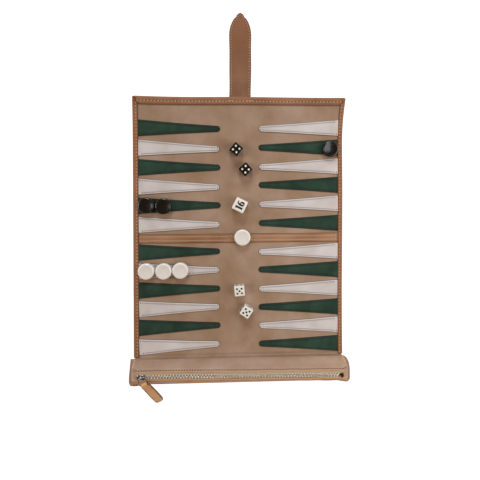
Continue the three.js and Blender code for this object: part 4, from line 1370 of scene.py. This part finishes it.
# ------------------------------------------------------------------ the doubling cube
def stroke(points, widths):
    """A flat printed stroke along a line of points whose width changes from point to point."""
    along = np.gradient(points, axis=0)
    along /= np.maximum(np.linalg.norm(along, axis=1, keepdims=True), 1e-9)
    side = np.stack([-along[:, 1], along[:, 0]], 1) * widths[:, None] / 2
    flat = np.vstack([points - side, points + side])
    verts = np.vstack([at_height(flat, 0.0), at_height(flat, 0.05)])
    n = len(points)
    faces = [[n, 0, 2 * n, 3 * n], [n - 1, 2 * n - 1, 4 * n - 1, 3 * n - 1]]
    for i in range(n - 1):
        faces.append([2 * n + i, 2 * n + i + 1, 3 * n + i + 1, 3 * n + i])
        faces.append([i, i + 1, 2 * n + i + 1, 2 * n + i])
        faces.append([n + i + 1, n + i, 3 * n + i, 3 * n + i + 1])
    return verts, faces


def arc(cx, cy, rx, ry, start, end, thick=0.27):
    """A curved stroke that is thick at its left and right and thin at its top and bottom."""
    thin = 0.1
    angles = np.radians(np.linspace(start, end, 28))
    points = np.column_stack([cx + rx * np.cos(angles), cy + ry * np.sin(angles)])
    return stroke(points, thin + (thick - thin) * np.abs(np.cos(angles)) ** 1.4)


def bar(x0, y0, x1, y1, width, end_width=None):
    return stroke(np.linspace((x0, y0), (x1, y1), 4), np.linspace(width, end_width or width, 4))


# Bold numerals with serifs, 1 high and standing on y = 0: the width of each and its strokes.
NUMERALS = {
    "1": (0.48, bar(0.24, 0, 0.24, 1, 0.27), bar(0.02, 0.035, 0.46, 0.035, 0.07),
          bar(0.03, 0.8, 0.2, 0.93, 0.09, 0.14)),
    "2": (0.56, arc(0.28, 0.72, 0.19, 0.24, 165, -35), bar(0.41, 0.58, 0.06, 0.09, 0.15, 0.09),
          bar(0.02, 0.08, 0.52, 0.08, 0.16), bar(0.5, 0.04, 0.53, 0.27, 0.06)),
    "3": (0.54, arc(0.25, 0.74, 0.17, 0.22, 155, -80), arc(0.25, 0.28, 0.2, 0.24, 80, -155)),
    "4": (0.6, bar(0.4, 0, 0.4, 1, 0.27), bar(0.36, 0.96, 0.03, 0.3, 0.08),
          bar(0.0, 0.28, 0.6, 0.28, 0.1), bar(0.22, 0.035, 0.58, 0.035, 0.07)),
    "6": (0.56, arc(0.28, 0.3, 0.19, 0.26, 0, 360), arc(0.42, 0.42, 0.33, 0.53, 95, 185),
          bar(0.42, 0.93, 0.5, 0.84, 0.12, 0.16)),
    "8": (0.55, arc(0.27, 0.75, 0.15, 0.2, 0, 360, 0.2295), arc(0.27, 0.27, 0.18, 0.23, 0, 360)),
}


def printed(text, height):
    """A number centred on the origin of the X-Y plane, as (points, faces) for each stroke. Each stroke
    lies a hair above the last, so that no two share a plane."""
    parts, x, gap = [], 0.0, 0.06
    for digit in text:
        width, *strokes = NUMERALS[digit]
        parts += [(verts + [x, 0, 0], faces) for verts, faces in strokes]
        x += width + gap
    middle = [(x - gap) / 2, 0.5, 0]
    return [((verts - middle) * [height, height, 1.0] + [0, 0, 0.002 * k], faces)
            for k, (verts, faces) in enumerate(parts)]


CUBE_TURN = -27.0
CUBE_FACES = {"16": (0, "X"), "2": (90, "X"), "4": (90, "Y"), "8": (-90, "X"), "32": (-90, "Y"),
              "64": (180, "X")}
TEXT_HEIGHT = {1: 9.6, 2: 9.0}  # for one and for two figures


def build_doubling_cube():
    low, high = span("doubling_cube")
    size = high[2] - low[2]
    cube = make_object("doubling_cube_piece", *rounded_box(size, 1.5, 7), [CUBE])
    parts = []
    for text, (angle, axis) in CUBE_FACES.items():
        upright = turn(90 if text == "16" else 0)  # the top number reads from the side
        for verts, faces in printed(text, TEXT_HEIGHT[len(text)]):
            parts.append(((verts + [0, 0, size / 2 - 0.02]) @ upright.T @ turn(angle, axis).T, faces))
    verts, faces, _ = joined(parts)
    print_layer = make_object("doubling_cube_numbers", verts, faces, [INK], smooth=False)
    for piece in (cube, print_layer):
        set_down(piece, "doubling_cube", low[2] + size / 2, CUBE_TURN)
    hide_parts("doubling_cube")


# ------------------------------------------------------------------ floor, light and camera
LENS = 30.04
LENS_SHIFT = (-0.0304, -0.0965)
CAMERA_PLACE = (-0.00017, 0.04668, 0.490)
CAMERA_TILT = (-0.769, -2.324, -0.295)  # degrees about X, Y and Z
# Each softbox's place, size, level and colour.
SOFTBOXES = {"left_softbox": ((-2.6, 0.1, 2.6), 1.2, 0.18, (1.02, 1.0, 0.9)),
             "top_softbox": ((-0.2, 2.9, 2.2), 1.3, 0.28, (0.8, 1.0, 1.2)),
             "right_fill": ((0.42, 0.0, 0.42), 0.45, 0.35, (0.94, 1.0, 1.09))}


def build_floor():
    reach, under = 40000, -0.6  # far enough to meet the horizon in a low view, and just under the mat
    verts = [(x * reach, y * reach, under) for x, y in ((-1, -1), (1, -1), (1, 1), (-1, 1))]
    s = Shader("studio_floor", roughness=0.9)
    s.set(Base_Color=(0.45, 0.45, 0.45, 1.0), Specular_IOR_Level=0.0,
          Emission_Color=(1.0, 1.0, 1.0, 1.0), Emission_Strength=0.9)
    floor = make_object("studio_floor", verts, [[0, 1, 2, 3]], [s.material])


def softbox(name, place, size, level, colour):
    """A square softbox aimed at the mat. level is the brightness it gives a white sheet lying there."""
    place = Vector(place)
    data = bpy.data.lights.new(name, "AREA")
    data.shape = "SQUARE"
    data.size = size
    data.energy = level * math.pi ** 2 * place.length_squared * place.length / place.z
    data.color = colour
    lamp = in_scene(name, data)
    lamp.location = place
    lamp.rotation_euler = (-place).to_track_quat("-Z", "Y").to_euler()


def build_light():
    for name, settings in SOFTBOXES.items():
        softbox(name, *settings)
    world = bpy.data.worlds.new("studio")
    world.use_nodes = True
    background = world.node_tree.nodes["Background"]
    background.inputs["Color"].default_value = (1.0, 0.66, 0.42, 1.0)
    background.inputs["Strength"].default_value = 0.2
    bpy.context.scene.world = world
    bpy.context.scene.view_settings.view_transform = "Standard"


def build_camera():
    data = bpy.data.cameras.new("camera")
    data.sensor_width = 36.0
    data.lens = LENS
    data.shift_x, data.shift_y = LENS_SHIFT
    data.clip_start = 0.01
    camera = in_scene("camera", data)
    camera.location = CAMERA_PLACE
    camera.rotation_euler = [math.radians(a) for a in CAMERA_TILT]
    bpy.context.scene.camera = camera


for build in (build_back, build_suede, build_borders, build_bar, build_points, build_strap,
              build_pouch_face, build_pouch_base, build_pouch_stitches, build_seam_leather,
              build_tapes, build_teeth, build_end_stop, build_slider, build_ring, build_tab,
              build_checkers, build_stored_checkers, build_dice, build_doubling_cube, build_floor,
              build_light, build_camera):
    build()
